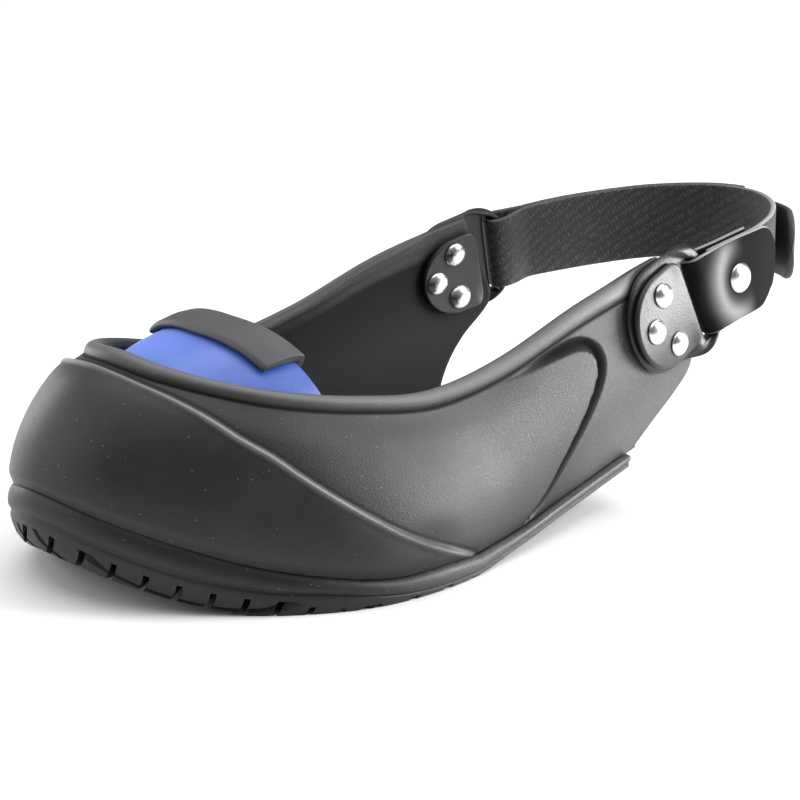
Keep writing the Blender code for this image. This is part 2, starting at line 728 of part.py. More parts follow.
def window_outline(side, count):
    angle = np.linspace(0.0, 2.0 * np.pi, count, endpoint=False)
    power = WINDOW_POWER
    middle = 0.5 * (WINDOW_FRONT + WINDOW_REAR)
    half = 0.5 * (WINDOW_REAR - WINDOW_FRONT)
    a = middle + half * np.sign(np.cos(angle)) * np.abs(np.cos(angle)) ** power
    b = WINDOW_HALF * np.sign(np.sin(angle)) * np.abs(np.sin(angle)) ** power - LOOP_SAG[side]
    return a, b


def plate_outline(size, count):
    front, rear, half = size
    angle = np.linspace(0.0, 2.0 * np.pi, count, endpoint=False)
    ahead = np.cos(angle) < 0.0
    a = np.where(ahead, front * np.cos(angle), rear * np.abs(np.cos(angle)) ** PLATE_POWER)
    square = np.sign(np.sin(angle)) * np.abs(np.sin(angle)) ** PLATE_POWER
    return a, half * np.where(ahead, np.sin(angle), square)


def make_plate(name, side, rings, depths, material):
    """Plate between two depths over the wall. rings run from its rim inwards."""
    low, high = depths
    middle = 0.5 * (low + high)
    rows = [fitting_point(side, a, b, np.full(len(a), middle)) for a, b in rings]
    return make_sheet(name, closed(rows), high - low, 0.0, material)


def rivet_profile(low, high, head, dome):
    """Height and radius of a rivet from the top of one dome to the top of the other."""
    profile = [(high + dome, 0.0)]
    profile += [(high + dome * rise, head * width) for rise, width in reversed(DOME_CURVE)]
    profile += [(high, SHANK), (low, SHANK)]
    profile += [(low - dome * rise, head * width) for rise, width in DOME_CURVE]
    profile += [(low - dome, 0.0)]
    return profile


def rivet_place(side, spot):
    rib, share = fitting_place(side, np.array(spot[0]), np.array(spot[1]))
    return wall_point(rib, share), wall_normal(rib, share)


def build_fittings(side, label, upper):
    outer = loop_outline(side, LOOP_POINTS)
    window = window_outline(side, LOOP_POINTS)
    rings = [tuple(o + (w - o) * share for o, w in zip(outer, window)) for share in LOOP_LEVELS]
    plates = [make_plate(label + "_strap_loop", side, rings, LAYERS["loop"], "black_rubber")]
    for kind, size in (("outer_plate", OUTER_PLATE), ("inner_plate", INNER_PLATE)):
        a, b = plate_outline(size, PLATE_POINTS)
        rings = [(PLATE_MIDDLE + (a - PLATE_MIDDLE) * share, b * share) for share in (1.0, 0.5, 0.0)]
        plates.append(make_plate(label + "_" + kind, side, rings, LAYERS[kind], "black_leather"))
    holes = bmesh.new()
    profile = rivet_profile(LAYERS["inner_plate"][0] - RIVET_REACH, LAYERS["outer_plate"][1] + RIVET_REACH,
                            RIVET_HEAD, RIVET_DOME)
    for place, spot in RIVETS.items():
        start, axis = rivet_place(side, spot)
        make_turned(label + "_rivet_" + place, start, axis, profile, "plated_metal")
        drill(holes, start, axis)
    cutter = make_cutter(label + "_rivet_holes", holes)
    for item in plates + [upper]:
        cut(item, cutter)


# Strap

def catmull(points, per_span):
    ends = np.vstack((2 * points[0] - points[1], points, 2 * points[-1] - points[-2]))
    out = []
    for i in range(len(points) - 1):
        a, b, c, d = ends[i:i + 4]
        for k in range(per_span):
            f = k / per_span
            out.append(0.5 * (2 * b + (c - a) * f + (2 * a - 5 * b + 4 * c - d) * f ** 2
                              + (3 * b - 3 * c + d - a) * f ** 3))
    out.append(points[-1])
    return np.array(out)


def bar_point(side):
    return fitting_point(side, np.array(BAR_AT), np.array(-LOOP_SAG[side]), np.array(BAR_DEPTH))


def strap_spine():
    """Middle line of the band from bar to bar, with its outward and cross directions, one point per mm."""
    line = catmull(np.vstack((bar_point(1), STRAP_LINE, bar_point(-1))), 24)
    run = np.concatenate(([0.0], np.cumsum(np.linalg.norm(np.diff(line, axis=0), axis=1))))
    length = run[-1]
    stops = np.linspace(0.0, length, int(length) + 1)
    line = np.column_stack([np.interp(stops, run, line[:, i]) for i in range(3)])
    along = np.gradient(line, axis=0)
    along = along / np.linalg.norm(along, axis=1, keepdims=True)
    start = fitting_frame(1)[2]
    stop = fitting_frame(-1)[2]
    level = np.array((0.0, 0.0, 1.0))
    near = 1.0 - smooth(stops / TURN_BLEND)
    far = 1.0 - smooth((length - stops) / TURN_BLEND)
    across = near[:, None] * start + far[:, None] * stop + (1.0 - near - far)[:, None] * level
    across = across / np.linalg.norm(across, axis=1, keepdims=True)
    out = np.cross(along, across)
    near = 1.0 - smooth(stops / LEAF_BLEND)
    far = 1.0 - smooth((length - stops) / LEAF_BLEND)
    out = out / np.linalg.norm(out, axis=1, keepdims=True) * (1.0 - near - far)[:, None]
    out = out + near[:, None] * fitting_frame(1)[3] + far[:, None] * fitting_frame(-1)[3]
    out = out / np.linalg.norm(out, axis=1, keepdims=True)
    return stops, line, out, across, along


SPINE = strap_spine()


def spine_at(run):
    stops = SPINE[0]
    return [np.column_stack([np.interp(run, stops, part[:, i]) for i in range(3)]) for part in SPINE[1:]]


def layer(run, offset):
    """Points of a layer at runs along the spine and offsets outwards, with cross directions."""
    line, out, across, _ = spine_at(np.asarray(run, float))
    return line + out * np.asarray(offset, float)[:, None], across


def fold(side):
    """Half turn round the bar of one loop, from inside to outside, on the side away from the heel."""
    _, a_axis, b_axis, normal = fitting_frame(side)
    turn = np.radians(np.linspace(-90.0, 90.0, FOLD_STEPS)[1:-1])
    points = [bar_point(side) + FOLD_RADIUS * (math.sin(t) * normal - math.cos(t) * a_axis) for t in turn]
    return np.array(points), np.repeat(b_axis[None, :], len(points), axis=0)


def ribbon(name, points, across, width, thick, rounded, material):
    """Flat band along points. rounded gives how far each end is drawn in to a round tip, 0 for square."""
    run = np.concatenate(([0.0], np.cumsum(np.linalg.norm(np.diff(points, axis=0), axis=1))))
    half = np.full(len(points), 0.5 * width)
    for reach, depth in ((rounded[0], run), (rounded[1], run[-1] - run)):
        if reach > 0.0:
            share = np.clip(depth / reach, 0.0, 1.0)
            half = half * np.maximum(np.sqrt(1.0 - (1.0 - share) ** 2), TIP_LEAST)
    edge = across * half[:, None]
    return make_sheet(name, np.stack((points - edge, points + edge), axis=1), thick, 0.0, material)


def blend_offset(run, bar, at_bar, away):
    return at_bar + (away - at_bar) * smooth(np.abs(np.asarray(run) - bar) / LEAF_BLEND)


def build_strap():
    length = SPINE[0][-1]
    tab_in = np.linspace(TAB_INNER, 0.0, 12)
    tab_out = np.linspace(0.0, TAB_OUTER - TIP_ROUND, 12)
    tab_out = np.concatenate((tab_out, np.linspace(TAB_OUTER - 0.83 * TIP_ROUND, TAB_OUTER, 7)))
    inner, inner_across = layer(tab_in, -blend_offset(tab_in, 0.0, FOLD_RADIUS, LEAF_OFFSET))
    turn, turn_across = fold(1)
    lift = TAB_LIFT * np.clip((tab_out - TAB_RIVET_AT) / (TAB_OUTER - TAB_RIVET_AT), 0.0, 1.0) ** 2
    outer, outer_across = layer(tab_out, blend_offset(tab_out, 0.0, FOLD_RADIUS, LEAF_OFFSET) + lift)
    points = np.vstack((inner, turn, outer))
    across = np.vstack((inner_across, turn_across, outer_across))
    tab = ribbon("strap_tab", points, across, TAB_WIDTH, TAB_THICK, (0.0, TIP_ROUND), "black_leather")
    band_in = np.linspace(BAND_START, length, 46)
    first, first_across = layer(band_in, -blend_offset(band_in, length, FOLD_RADIUS, 0.0))
    turn, turn_across = fold(-1)
    band_out = np.linspace(length, RETURN_END, 30)
    second, second_across = layer(band_out, blend_offset(band_out, length, FOLD_RADIUS, RETURN_OFFSET))
    points = np.vstack((first, turn, second))
    across = np.vstack((first_across, turn_across, second_across))
    band = ribbon("strap_band", points, across, BAND_WIDTH, BAND_THICK, (0.0, 0.0), "black_webbing")
    tip = RETURN_END - GAP - PULL_TAB
    pull = np.linspace(RETURN_END - GAP, tip + 0.9 * PULL_ROUND, 8)
    pull = np.concatenate((pull, np.linspace(tip + 0.72 * PULL_ROUND, tip, 6)))
    flare = PULL_FLARE * smooth((RETURN_END - pull) / PULL_TAB)
    points, across = layer(pull, RETURN_OFFSET + PULL_LIFT + flare)
    points = points - PULL_DROP * across
    ribbon("strap_pull_tab", points, across, PULL_WIDTH, PULL_THICK, (0.0, PULL_ROUND), "black_rubber")
    line, out, _, _ = spine_at(np.array([TAB_RIVET_AT]))
    reach = LEAF_OFFSET + 0.5 * TAB_THICK + TAB_RIVET_REACH
    profile = rivet_profile(-reach, reach, TAB_RIVET_HEAD, RIVET_DOME)
    make_turned("tab_rivet", line[0], out[0], profile, "plated_metal")
    hole = bmesh.new()
    drill(hole, line[0], out[0])
    cutter = make_cutter("tab_rivet_hole", hole)
    cut(tab, cutter)
    cut(band, cutter)


def build():
    clear_scene()
    new_collection(PARTS)
    new_collection(CUTTERS)
    for name in MATERIALS:
        new_material(name)
    build_outsole()
    upper = build_upper()
    build_toe_cap()
    build_guard()
    build_fittings(1, "lateral", upper)
    build_fittings(-1, "medial", upper)
    build_strap()


build()
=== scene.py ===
"""Safety toe overshoe: fine surfaces, finishes, floor, lights and camera around the fixed frame.

Frame: +X to the toe, +Y to the wearer's left, +Z up. The shape tables are in millimetres.
"""
import math

import bpy
import numpy as np
from bpy.props import FloatProperty, FloatVectorProperty, PointerProperty
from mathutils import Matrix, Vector


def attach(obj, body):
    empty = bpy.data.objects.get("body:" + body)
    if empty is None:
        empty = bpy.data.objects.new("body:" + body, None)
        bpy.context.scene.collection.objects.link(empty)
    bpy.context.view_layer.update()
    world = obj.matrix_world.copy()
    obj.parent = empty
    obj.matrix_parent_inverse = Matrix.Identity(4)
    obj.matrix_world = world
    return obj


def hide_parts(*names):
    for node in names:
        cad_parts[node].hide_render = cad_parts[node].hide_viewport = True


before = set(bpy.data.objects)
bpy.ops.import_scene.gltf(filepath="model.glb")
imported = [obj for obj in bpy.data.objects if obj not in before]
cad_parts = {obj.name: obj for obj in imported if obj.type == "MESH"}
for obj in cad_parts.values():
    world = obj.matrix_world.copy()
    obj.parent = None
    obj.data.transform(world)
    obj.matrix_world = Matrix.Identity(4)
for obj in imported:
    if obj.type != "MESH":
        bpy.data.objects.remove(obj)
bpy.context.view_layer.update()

bl_info = {
    "name": "Safety Toe Overshoe",
    "version": (1, 0, 0),
    "blender": (4, 5, 0),
    "location": "View3D > Sidebar > Overshoe",
    "description": "Models the rubber, metal and strap pieces of a safety toe overshoe",
    "category": "Object",
}

MM = 0.001
WELD_DISTANCE = 0.000002

# Ribs of one half of the wall, from the toe apex back along the side.
# Columns: foot_x, foot_y, rim_x, rim_y, rim_z, belly, crown, shoulder
RIBS = np.array((
    (86.5, 0.0, 56.2, 0.0, 68.1, 0.4, 17.8, 4.0),
    (81.0, 19.5, 53.2, 15.0, 66.2, 0.2, 15.4, 5.0),
    (66.5, 36.5, 44.8, 28.5, 63.3, 0.8, 11.2, 6.0),
    (44.0, 50.0, 30.0, 39.0, 60.0, 3.5, 9.0, 9.0),
    (17.0, 59.5, 9.0, 45.0, 56.5, 4.0, 8.0, 11.0),
    (-12.0, 62.0, -15.0, 48.0, 54.5, 4.0, 7.0, 12.0),
    (-41.0, 57.0, -42.0, 49.0, 59.5, 5.0, 6.0, 15.0),
    (-69.0, 50.0, -76.0, 48.5, 71.0, 8.0, 5.0, 20.0),
    (-98.0, 43.0, -111.0, 46.0, 79.0, 11.0, 4.0, 25.0),
    (-129.0, 36.0, -140.0, 41.5, 82.0, 11.0, 4.0, 25.0),
))
LAST_RIB = len(RIBS) - 1
SWING = 5.0
SWING_FROM = -15.0
SWING_LENGTH = 110.0
MEDIAL_DROP = 3.0
DROP_FROM = 45.0
DROP_LENGTH = 50.0
DROP_WIDTH = 15.0
DROP_REAR = (0.3, -35.0, 70.0)
BELLY_HEIGHT = 0.38

# The lateral side is wider at the ball. Columns: reach outwards, rib of the widest place, spread in ribs
BULGE = (6.0, 3.8, 1.2)

# Edge of the raised toe panel, from the toe apex back to the sole. Columns: rib number, height share
TOE_EDGE = np.array((
    (-0.4, 0.816), (0.0, 0.817), (0.36, 0.815), (0.62, 0.811), (0.89, 0.803), (1.19, 0.789), (1.49, 0.767),
    (1.89, 0.726), (2.19, 0.685), (2.47, 0.642), (2.70, 0.610), (2.92, 0.574), (3.26, 0.490), (3.56, 0.410),
    (3.88, 0.326), (4.20, 0.243), (4.61, 0.146), (5.20, 0.021), (5.30, -0.002),
))
# Groove behind the side panel, from below the rim round its rear corner to the sole. Columns as above
SIDE_EDGE = np.array((
    (5.40, 0.915), (5.92, 0.890), (6.28, 0.859), (6.65, 0.830), (6.83, 0.812), (6.97, 0.780), (7.08, 0.727),
    (7.14, 0.664), (7.15, 0.584), (7.11, 0.513), (7.04, 0.435), (6.95, 0.362), (6.83, 0.285), (6.70, 0.209),
    (6.56, 0.132), (6.45, 0.088), (6.34, 0.052), (6.22, 0.022),
))
# Grid columns that follow the two edges. Columns: height share, rib number on either side
TOE_COLUMNS = np.array((
    (-0.3, 5.26), (0.0, 5.26), (0.021, 5.20), (0.146, 4.61), (0.243, 4.20), (0.326, 3.88), (0.410, 3.56),
    (0.490, 3.26), (0.574, 2.92), (0.610, 2.70), (0.642, 2.47), (0.685, 2.19), (0.726, 1.89), (0.767, 1.52),
    (0.800, 1.15), (0.840, 0.85), (0.900, 0.62), (0.95, 0.52), (1.0, 0.48),
))
SIDE_COLUMNS = np.array((
    (-0.3, 6.25), (0.0, 6.25), (0.085, 6.45), (0.209, 6.70), (0.362, 6.95), (0.513, 7.11), (0.62, 7.15),
    (0.727, 7.08), (0.82, 6.96), (1.0, 6.9),
))
# Columns: height share, rib number of the wing end on the lateral side, on the medial side
WING_END = np.array((
    (-0.3, 8.20, 7.98), (0.0, 8.32, 7.98), (0.10, 8.50, 8.08), (0.20, 8.70, 8.20), (0.30, 8.82, 8.34),
    (0.38, 8.80, 8.48), (0.45, 8.71, 8.56), (0.55, 8.57, 8.52), (0.65, 8.42, 8.40), (0.73, 8.29, 8.29),
    (0.81, 8.19, 8.19), (0.88, 8.10, 8.10), (1.0, 7.98, 7.98),
))
# Rolled rim from the outside over the top to the inside. Columns: distance below the rim, offset outwards
RIM_BEAD = np.array((
    (7.2, -0.3), (6.3, 0.1), (5.3, 1.1), (3.7, 1.7), (1.8, 1.45), (0.2, 0.2), (0.2, -2.0), (1.8, -3.1),
    (4.0, -2.9), (4.9, -2.7), (5.8, -2.6),
))
BEAD_ENDS = (7.2, 7.7)
# Offsets further in than this are on the bead's inner side. Last height share over which the panels fade
BEAD_INSIDE = -1.0
BEAD_BLEND = 0.03
# Painted shade under the bead and painted highlight on its top. Columns: strength, distance below the rim,
# spread
BEAD_SHADE = (1.0, 6.6, 0.8)
BEAD_HIGHLIGHT = (0.4, 2.4, 2.4)
# Grid columns of one half of the upper: toe panel, side panel, wing, rounded wing end
UPPER_COLUMNS = (80, 64, 44, 6)
# Rows of the outside below the rim: up to the first height share, then up to the rim
UPPER_ROWS = (0.74, 44, 46)
INNER_ROWS = 30
BEAD_STEPS = 5
END_ROUND_RIBS = 0.04
# Painted shade on the inside of the wall: its colour is darkened and its roughness raised by this share
INNER_SHADE = 0.8

# Panels of the wall. Pairs: where a change begins and over what length, in ribs or in height shares
PANEL_CRISP = (5.7, 0.7)
PANEL_FADE = (0.66, 0.2)
FOOT_FADE = 0.1
# The groove: full below this height share, above it only behind this rib, over this many ribs
GROOVE_FULL = (0.4, 5.7, 1.0)
# Its share of the width at the foot and the height share of its full width, distance behind the edge
GROOVE_FOOT = (0.4, 0.06)
GROOVE_BEHIND = 0.4
# Spread of the painted shade in the groove, as a share of its half width
GROOVE_SHADE = 1.15
# Ridge of the toe panel's edge, the painted shade beside it and the painted highlight along it. Columns:
# strength, distance from the edge, spread
RIDGE = (1.0, 0.7, 1.0)
RIDGE_SHADE = (0.8, -1.6, 1.1)
RIDGE_HIGHLIGHT = (0.75, 0.4, 1.0)
# Darker, rougher patch low on the side. Columns: strength, rib, spread in ribs, height share, spread
SIDE_DARK_PATCH = (0.65, 4.6, 0.9, 0.18, 0.22)
# Painted sheen, paler on the side and low on the wing. Columns: strength, rib where it begins, over how many
# ribs
SIDE_SHEEN = (0.36, 3.2, 3.6)
LOW_SHEEN = (0.6, 6.6, 1.0)
# The side's painted sheen at the foot and the height share of its full strength; where the painted sheen low
# on the wing ends, over what
SIDE_SHEEN_RISE = (0.35, 0.45)
LOW_SHEEN_END = (0.1, 0.6)

# Sole
LIP_BALL = 7.0
LIP_TOE = 17.0
LIP_RISE_FROM = 5.0
LIP_RISE_LENGTH = 70.0
LIP_REAR = 4.4
LIP_FALL_FROM = -5.0
LIP_FALL_LENGTH = 45.0
FLAT_REAR = -22.0
FLAT_FRONT = 41.0
SPRING_RADIUS = 80.0
REAR_RISE = 9.0
REAR_LENGTH = 58.0
REAR_POWER = 1.05
SOLE_TOP = 4.6
TREAD_DEPTH = 2.6
SOLE_END_RIB = 8.08
SOLE_STATIONS = 220
REAR_STATIONS = 40
REAR_CORNER = 0.003
REAR_BOW = 3.0
REAR_LIP = 0.4
# Side of the sole before it is bent.
# Columns: offset outwards from the foot line, height over the tread at the toe, at the rear
SOLE_SIDE = (
    (0.3, 4.6, 4.6), (0.3, 6.4, 6.4), (0.45, 6.85, 6.85), (0.9, 7.0, 7.0), (1.5, 6.8, 6.8), (2.1, 6.35, 6.35),
    (2.55, 5.85, 5.7), (2.75, 5.45, 4.8), (2.75, 5.05, 3.4), (2.6, 4.8, 2.5), (2.3, 4.65, 2.1),
    (1.95, 4.55, 1.9), (1.85, 4.4, 1.75), (2.05, 4.2, 1.6), (2.2, 3.9, 1.4), (2.2, 3.2, 1.0), (2.1, 2.2, 0.6),
    (1.95, 1.0, 0.25), (1.7, 0.0, 0.0),
)
STEP_FROM = -5.0
STEP_LENGTH = 40.0
TOE_INSET = 3.6
INSET_TOP = 3.9
INSET_FROM = 40.0
INSET_LENGTH = 45.0
# Directions of the grooves. Columns: angle, lean of the groove's sides
GROOVE_ANGLES = ((45.0, 0.7), (-45.0, -0.7))
GROOVE_LINES = 18
GROOVE_REACH = 170.0
GROOVE_BELOW = 2.0
GROOVE_STEPS = 86
GROOVE_TURN = 0.02
# Depth of the grooves at the sole's edge.
# Columns: along the sides, at the toe, where the toe's begins, over what length
EDGE_GROOVE = (1.0, 3.4, 30.0, 14.0)
# Distance from the edge at which they begin to reach the tread's depth, over what length
EDGE_INSET = (7.0, 3.0)
# The rear part of the edge has no grooves: where it begins, over what length they end.
# They pass this far below it
REAR_PLAIN = (-5.0, 40.0)
UNCUT = 0.3
# Cuts across the sole, so that it bends smoothly: from, to, step
SOLE_CUTS = (-100.0, 86.0, 6.0)
SOLE_SMOOTH = 32.0
# Painted sheen: the sole's rubber is painted paler to the rear, from here over this length
SHEEN_FROM = 25.0
SOLE_SHEEN = 0.8
SHEEN_LENGTH = 70.0

# Toe cap: a dome whose rear rim is a wide arch
CAP_REAR = 20.0
CAP_LENGTH = 61.0
CAP_HALF_WIDTH = 46.0
CAP_PLAN_POWER = 2.4
CAP_TOP = 69.8
CAP_FRONT_POWER = 1.9
CAP_SIDE_POWER = 2.7
CAP_RAKE = 8.0
CAP_RAKE_WIDTH = 40.0
CAP_WALL = 1.8
CAP_LIFT = 0.5
CAP_GRID = (90, 44)
# Painted light and shade: the coat is painted deeper in colour to the lateral side and paler to the medial
# side: from here over this width
CAP_PAINTED_SHADE = (-30.0, 65.0)
# Rounded edges. Columns: width in metres, least angle
CAP_EDGE = (0.0005, 50.0)
GUARD_EDGE = (0.0006, 60.0)
EDGE_SEGMENTS = 3

# Guard on the rear rim of the cap. Columns: distance in front of the rim, offset over the cap
GUARD_SECTION = np.array((
    (11.6, 0.5), (12.3, 1.6), (11.0, 2.8), (5.0, 3.4), (0.0, 3.4), (-2.4, 2.6), (-3.2, 0.5), (-3.2, -2.6),
    (-2.2, -4.4), (5.0, -4.4), (6.0, -3.4), (6.0, -2.3), (-0.5, -2.3), (-0.5, 0.4), (3.5, 0.45),
    (7.5, 0.45),
))
GUARD_HALF_WIDTH = 27.0
GUARD_STATIONS = 70
GUARD_ROUND = (1.2, 5)
GUARD_SMOOTH = 40.0

# Fittings at the end of each wing, in a flat frame: a to the rear along the strap, b across it
FITTING_RIB = {1: 7.97, -1: 7.93}
FITTING_SHARE = 0.725
FITTING_TILT = {1: 21.0, -1: 13.0}
SIDES = {1: "lateral", -1: "medial"}
LOOP_FRONT = 16.5
LOOP_HALF = 17.6
LOOP_REAR = 22.8
LOOP_REAR_HALF = 17.2
LOOP_SAG = {1: 3.0, -1: 0.0}
SAG_LENGTH = 12.0
LOOP_POWER = 0.45
LOOP_STEPS = (160, 40)
LOOP_ROUND = 0.6
# The loop's arms swell from here over this length
SWELL_FROM = (8.0, 6.0)
# The far slot is filled up to the band, as no light shows through it
WINDOW_FRONT = {1: 14.2, -1: 15.9}
WINDOW_REAR = 18.9
WINDOW_HALF = 13.9
WINDOW_POWER = 0.3
STRAIGHT_FROM = 6.0
STRAIGHT_BLEND = 6.0
# Plates. Columns: reach to the front, to the rear, half width
PLATES = {"outer_plate": (15.8, 11.2, 15.2), "inner_plate": (13.0, 9.5, 13.2)}
PLATE_POWER = 0.28
PLATE_MIDDLE = -1.0
# Steps round a plate, over its flat and over its edge. Share of its flat, share taken by its rounded edge
PLATE_STEPS = (140, 14, 9)
PLATE_FLAT = 0.93
PLATE_EDGE = 0.055
# Depths over the outside of the wall
LAYERS = {"loop": (0.45, 2.7), "outer_plate": (3.0, 4.9), "inner_plate": (-5.0, -3.0)}
RIVETS = {"top": (0.0, 8.2), "front": (-8.0, 0.3), "bottom": (0.0, -8.2)}
RIVET_LOW = -5.0
RIVET_HIGH = 4.9
RIVET_HEAD = 4.0
SHANK = 2.0
# Half of a rivet from its middle to its top: share of the way, rise of its dome
RIVET_KNOTS = np.array((0.0, 0.15, 0.2, 0.3, 0.36, 0.44, 0.55, 0.7, 0.85, 1.0))
RIVET_RISE = (0.0, 0.0, 0.0, 0.08, 0.3, 0.66, 1.16, 1.62, 1.88, 1.98)
# Radius of the dome's last points as shares of the head's
RIVET_DOME = (1.0, 0.94, 0.8, 0.56, 0.29, 0.0)
RIVET_STEPS = 40

# Strap: middle line of the band in plan, from the lateral bar round the heel to the medial bar
STRAP_LINE = np.array((
    (-140.5, 46.8, 67.2), (-151.5, 45.2, 68.6), (-161.0, 41.0, 69.0), (-169.7, 36.0, 69.0),
    (-177.6, 30.0, 69.0), (-184.8, 23.0, 69.0), (-190.6, 14.6, 68.9), (-194.0, 5.0, 68.7),
    (-194.0, -6.0, 68.3), (-189.6, -16.8, 67.6), (-179.0, -29.0, 66.4), (-164.0, -37.5, 65.0),
    (-147.0, -42.4, 63.8),
))
BAND_WIDTH = 25.0
BAND_THICK = 1.8
TAB_WIDTH = 26.5
TAB_THICK = 1.5
TAB_OUTER = 37.0
TAB_INNER = 24.0
TAB_LIFT = 1.2
FOLD_RADIUS = 3.6
FOLD_STEPS = 25
LEAF_OFFSET = 2.1
LEAF_BLEND = 12.0
TURN_BLEND = 32.0
TIP_ROUND = 13.0
BAND_START = 6.0
RETURN_OFFSET = 2.15
RETURN_END = 90.0
PULL_TAB = 30.0
PULL_WIDTH = 24.0
PULL_THICK = 2.2
PULL_FLARE = 4.0
PULL_ROUND = 9.0
PULL_LIFT = 0.2
PULL_DROP = 2.5
PULL_GAP = 0.3
BAND_SPACING = 0.8
# Points across a face of a band and round its edge. Points along the strap's leaves, before they are spaced
BAND_SECTION = (27, 7)
TAB_STEPS = (60, 90)
BAND_STEPS = (280, 180)
PULL_STEPS = 60
# Ring of leather that swells round the tab's rivet, with a painted highlight on it ahead of the rivet
PRESS_HEIGHT = 0.7
PRESS_RADIUS = 11.4
PRESS_WIDTH = 3.8
TAB_RIVET_AT = 14.0
TAB_RIVET_HEAD = 4.9
BAR_AT = 20.85
BAR_DEPTH = 1.5

# Colours of the painted highlights on leather and rubber, of cut edges and pile tips, of the cap's painted
# light and blotches, of dust specks and of the painted sheen
PAINTED_HIGHLIGHT_LEATHER = (0.16, 0.16, 0.163)
CUT_LEATHER = (0.26, 0.26, 0.265)
PILE_TIPS = (0.16, 0.16, 0.165)
# The band's cut edge is bare up to the first run along it, and covered from the second
BARED_RUN = (62.0, 100.0)
CAP_PAINTED_LIGHT_AND_BLOTCH = (0.17, 0.27, 0.80)
SPECK_RUBBER = (0.24, 0.24, 0.245)
PAINTED_HIGHLIGHT_RUBBER = (0.27, 0.27, 0.274)
PAINTED_SHEEN_RUBBER = (0.12, 0.12, 0.122)

# Slant of the hook rows, gaps between rows and between hooks. Radius of a speck in its cell
HOOK_SLANT = 0.55
HOOK_GAPS = (0.22, 0.2)
SPECK_RADIUS = 0.12

# Camera of the photograph
CAMERA_TARGET = Vector((-0.045, 0.0, 0.035))
CAMERA_TURN = 50.0
CAMERA_RISE = 16.3
CAMERA_DISTANCE = 1.0
CAMERA_LENS = 145.35
CAMERA_SENSOR = 36.0
# Studio lights. Columns: name, place, target, size, watts
LIGHTS = (
    ("overhead_box", (-0.2, -0.2, 2.0), (-0.2, -0.2, 0.0), (3.0, 3.0), 58.0),
    ("low_strip", (-0.709, 0.448, 0.09), (-0.08, 0.04, 0.06), (0.34, 0.16), 7.0),
    ("side_box", (-0.80, 0.76, 0.69), (-0.06, 0.04, 0.05), (0.6, 0.45), 12.5),
    ("toe_box_light", (0.9, -0.55, 0.5), (0.05, 0.0, 0.04), (0.5, 0.7), 5.0),
    ("toe_edge_light", (0.12, -1.0, 0.24), (0.07, 0.0, 0.04), (0.4, 0.5), 3.0),
)
FLOOR_SIZE = 8.0


def smooth(value):
    """Soft step from 0 to 1."""
    share = np.clip(value, 0.0, 1.0)
    return share * share * (3.0 - 2.0 * share)


def bump(value, width):
    """Bell curve that is 1 in the middle."""
    return np.exp(-(np.asarray(value, float) / width) ** 2)


def band_of(value, strength, middle, width):
    """Bell curve of a given strength round a middle place."""
    return strength * bump(value - middle, width)


def signed_power(value, power):
    """Power of a number that keeps its sign."""
    return np.sign(value) * np.abs(value) ** power


def runs_of(points):
    """Distance of each point of a line from its start."""
    return np.concatenate(([0.0], np.cumsum(np.linalg.norm(np.diff(points, axis=0), axis=1))))


def at_runs(stops, run, rows):
    """Rows of a line at other distances from its start."""
    return np.column_stack([np.interp(stops, run, rows[:, i]) for i in range(3)])


def unit(vectors):
    """Vectors scaled to the length 1."""
    return vectors / np.linalg.norm(vectors, axis=-1, keepdims=True)


def catmull(points, per_span):
    """Smooth line through points, with per_span steps between two of them."""
    points = np.asarray(points, float)
    ends = np.vstack((2 * points[0] - points[1], points, 2 * points[-1] - points[-2]))
    line = []
    for i in range(len(points) - 1):
        a, b, c, d = ends[i:i + 4]
        for k in range(per_span):
            f = k / per_span
            second = (2 * a - 5 * b + 4 * c - d) * f ** 2
            third = (3 * b - 3 * c + d - a) * f ** 3
            line.append(0.5 * (2 * b + (c - a) * f + second + third))
    line.append(points[-1])
    return np.array(line)


def guide(table, share, column=1):
    """Smooth curve through a guide line's rows: cubic pieces with slopes from the neighbours."""
    x = table[:, 0]
    y = table[:, column]
    slope = np.gradient(y, x)
    share = np.clip(share, x[0], x[-1])
    index = np.clip(np.searchsorted(x, share, side="right") - 1, 0, len(x) - 2)
    width = x[index + 1] - x[index]
    t = (share - x[index]) / width
    low = (1 + 2 * t) * (1 - t) ** 2 * y[index] + t * (1 - t) ** 2 * width * slope[index]
    high = t ** 2 * (3 - 2 * t) * y[index + 1] - t ** 2 * (1 - t) * width * slope[index + 1]
    return low + high


# Shape of the wall and the sole

def spring(x):
    """Rise of the tread over the floor, at the toe and to the rear."""
    ahead = np.clip(np.asarray(x, float) - FLAT_FRONT, 0.0, SPRING_RADIUS * 0.95)
    behind = np.clip((FLAT_REAR - np.asarray(x, float)) / REAR_LENGTH, 0.0, None)
    return SPRING_RADIUS - np.sqrt(SPRING_RADIUS ** 2 - ahead ** 2) + REAR_RISE * behind ** REAR_POWER


def lip_height(x):
    """Height of the sole's lip over its tread."""
    rise = smooth((np.asarray(x, float) - LIP_RISE_FROM) / LIP_RISE_LENGTH)
    fall = smooth((LIP_FALL_FROM - np.asarray(x, float)) / LIP_FALL_LENGTH)
    return LIP_BALL + (LIP_TOE - LIP_BALL) * rise - (LIP_BALL - LIP_REAR) * fall


def sole_height(x, flat_z):
    """Height of a point of the flat sole once the sole is bent."""
    stretch = (lip_height(x) - TREAD_DEPTH) / (LIP_BALL - TREAD_DEPTH)
    above = np.clip(flat_z - TREAD_DEPTH, 0.0, None) * stretch
    return spring(x) + np.minimum(flat_z, TREAD_DEPTH) + above


def swing(x):
    """Shift of the forefoot to the medial side."""
    ahead = np.clip((np.asarray(x, float) - SWING_FROM) / SWING_LENGTH, 0.0, None)
    return -SWING * ahead ** 1.5


def both_sides():
    """Ribs of both halves, from the medial wing round the toe to the lateral wing."""
    other = RIBS[1:][::-1].copy()
    other[:, 1] *= -1.0
    other[:, 3] *= -1.0
    return np.vstack((other, RIBS))


ALL_RIBS = both_sides()


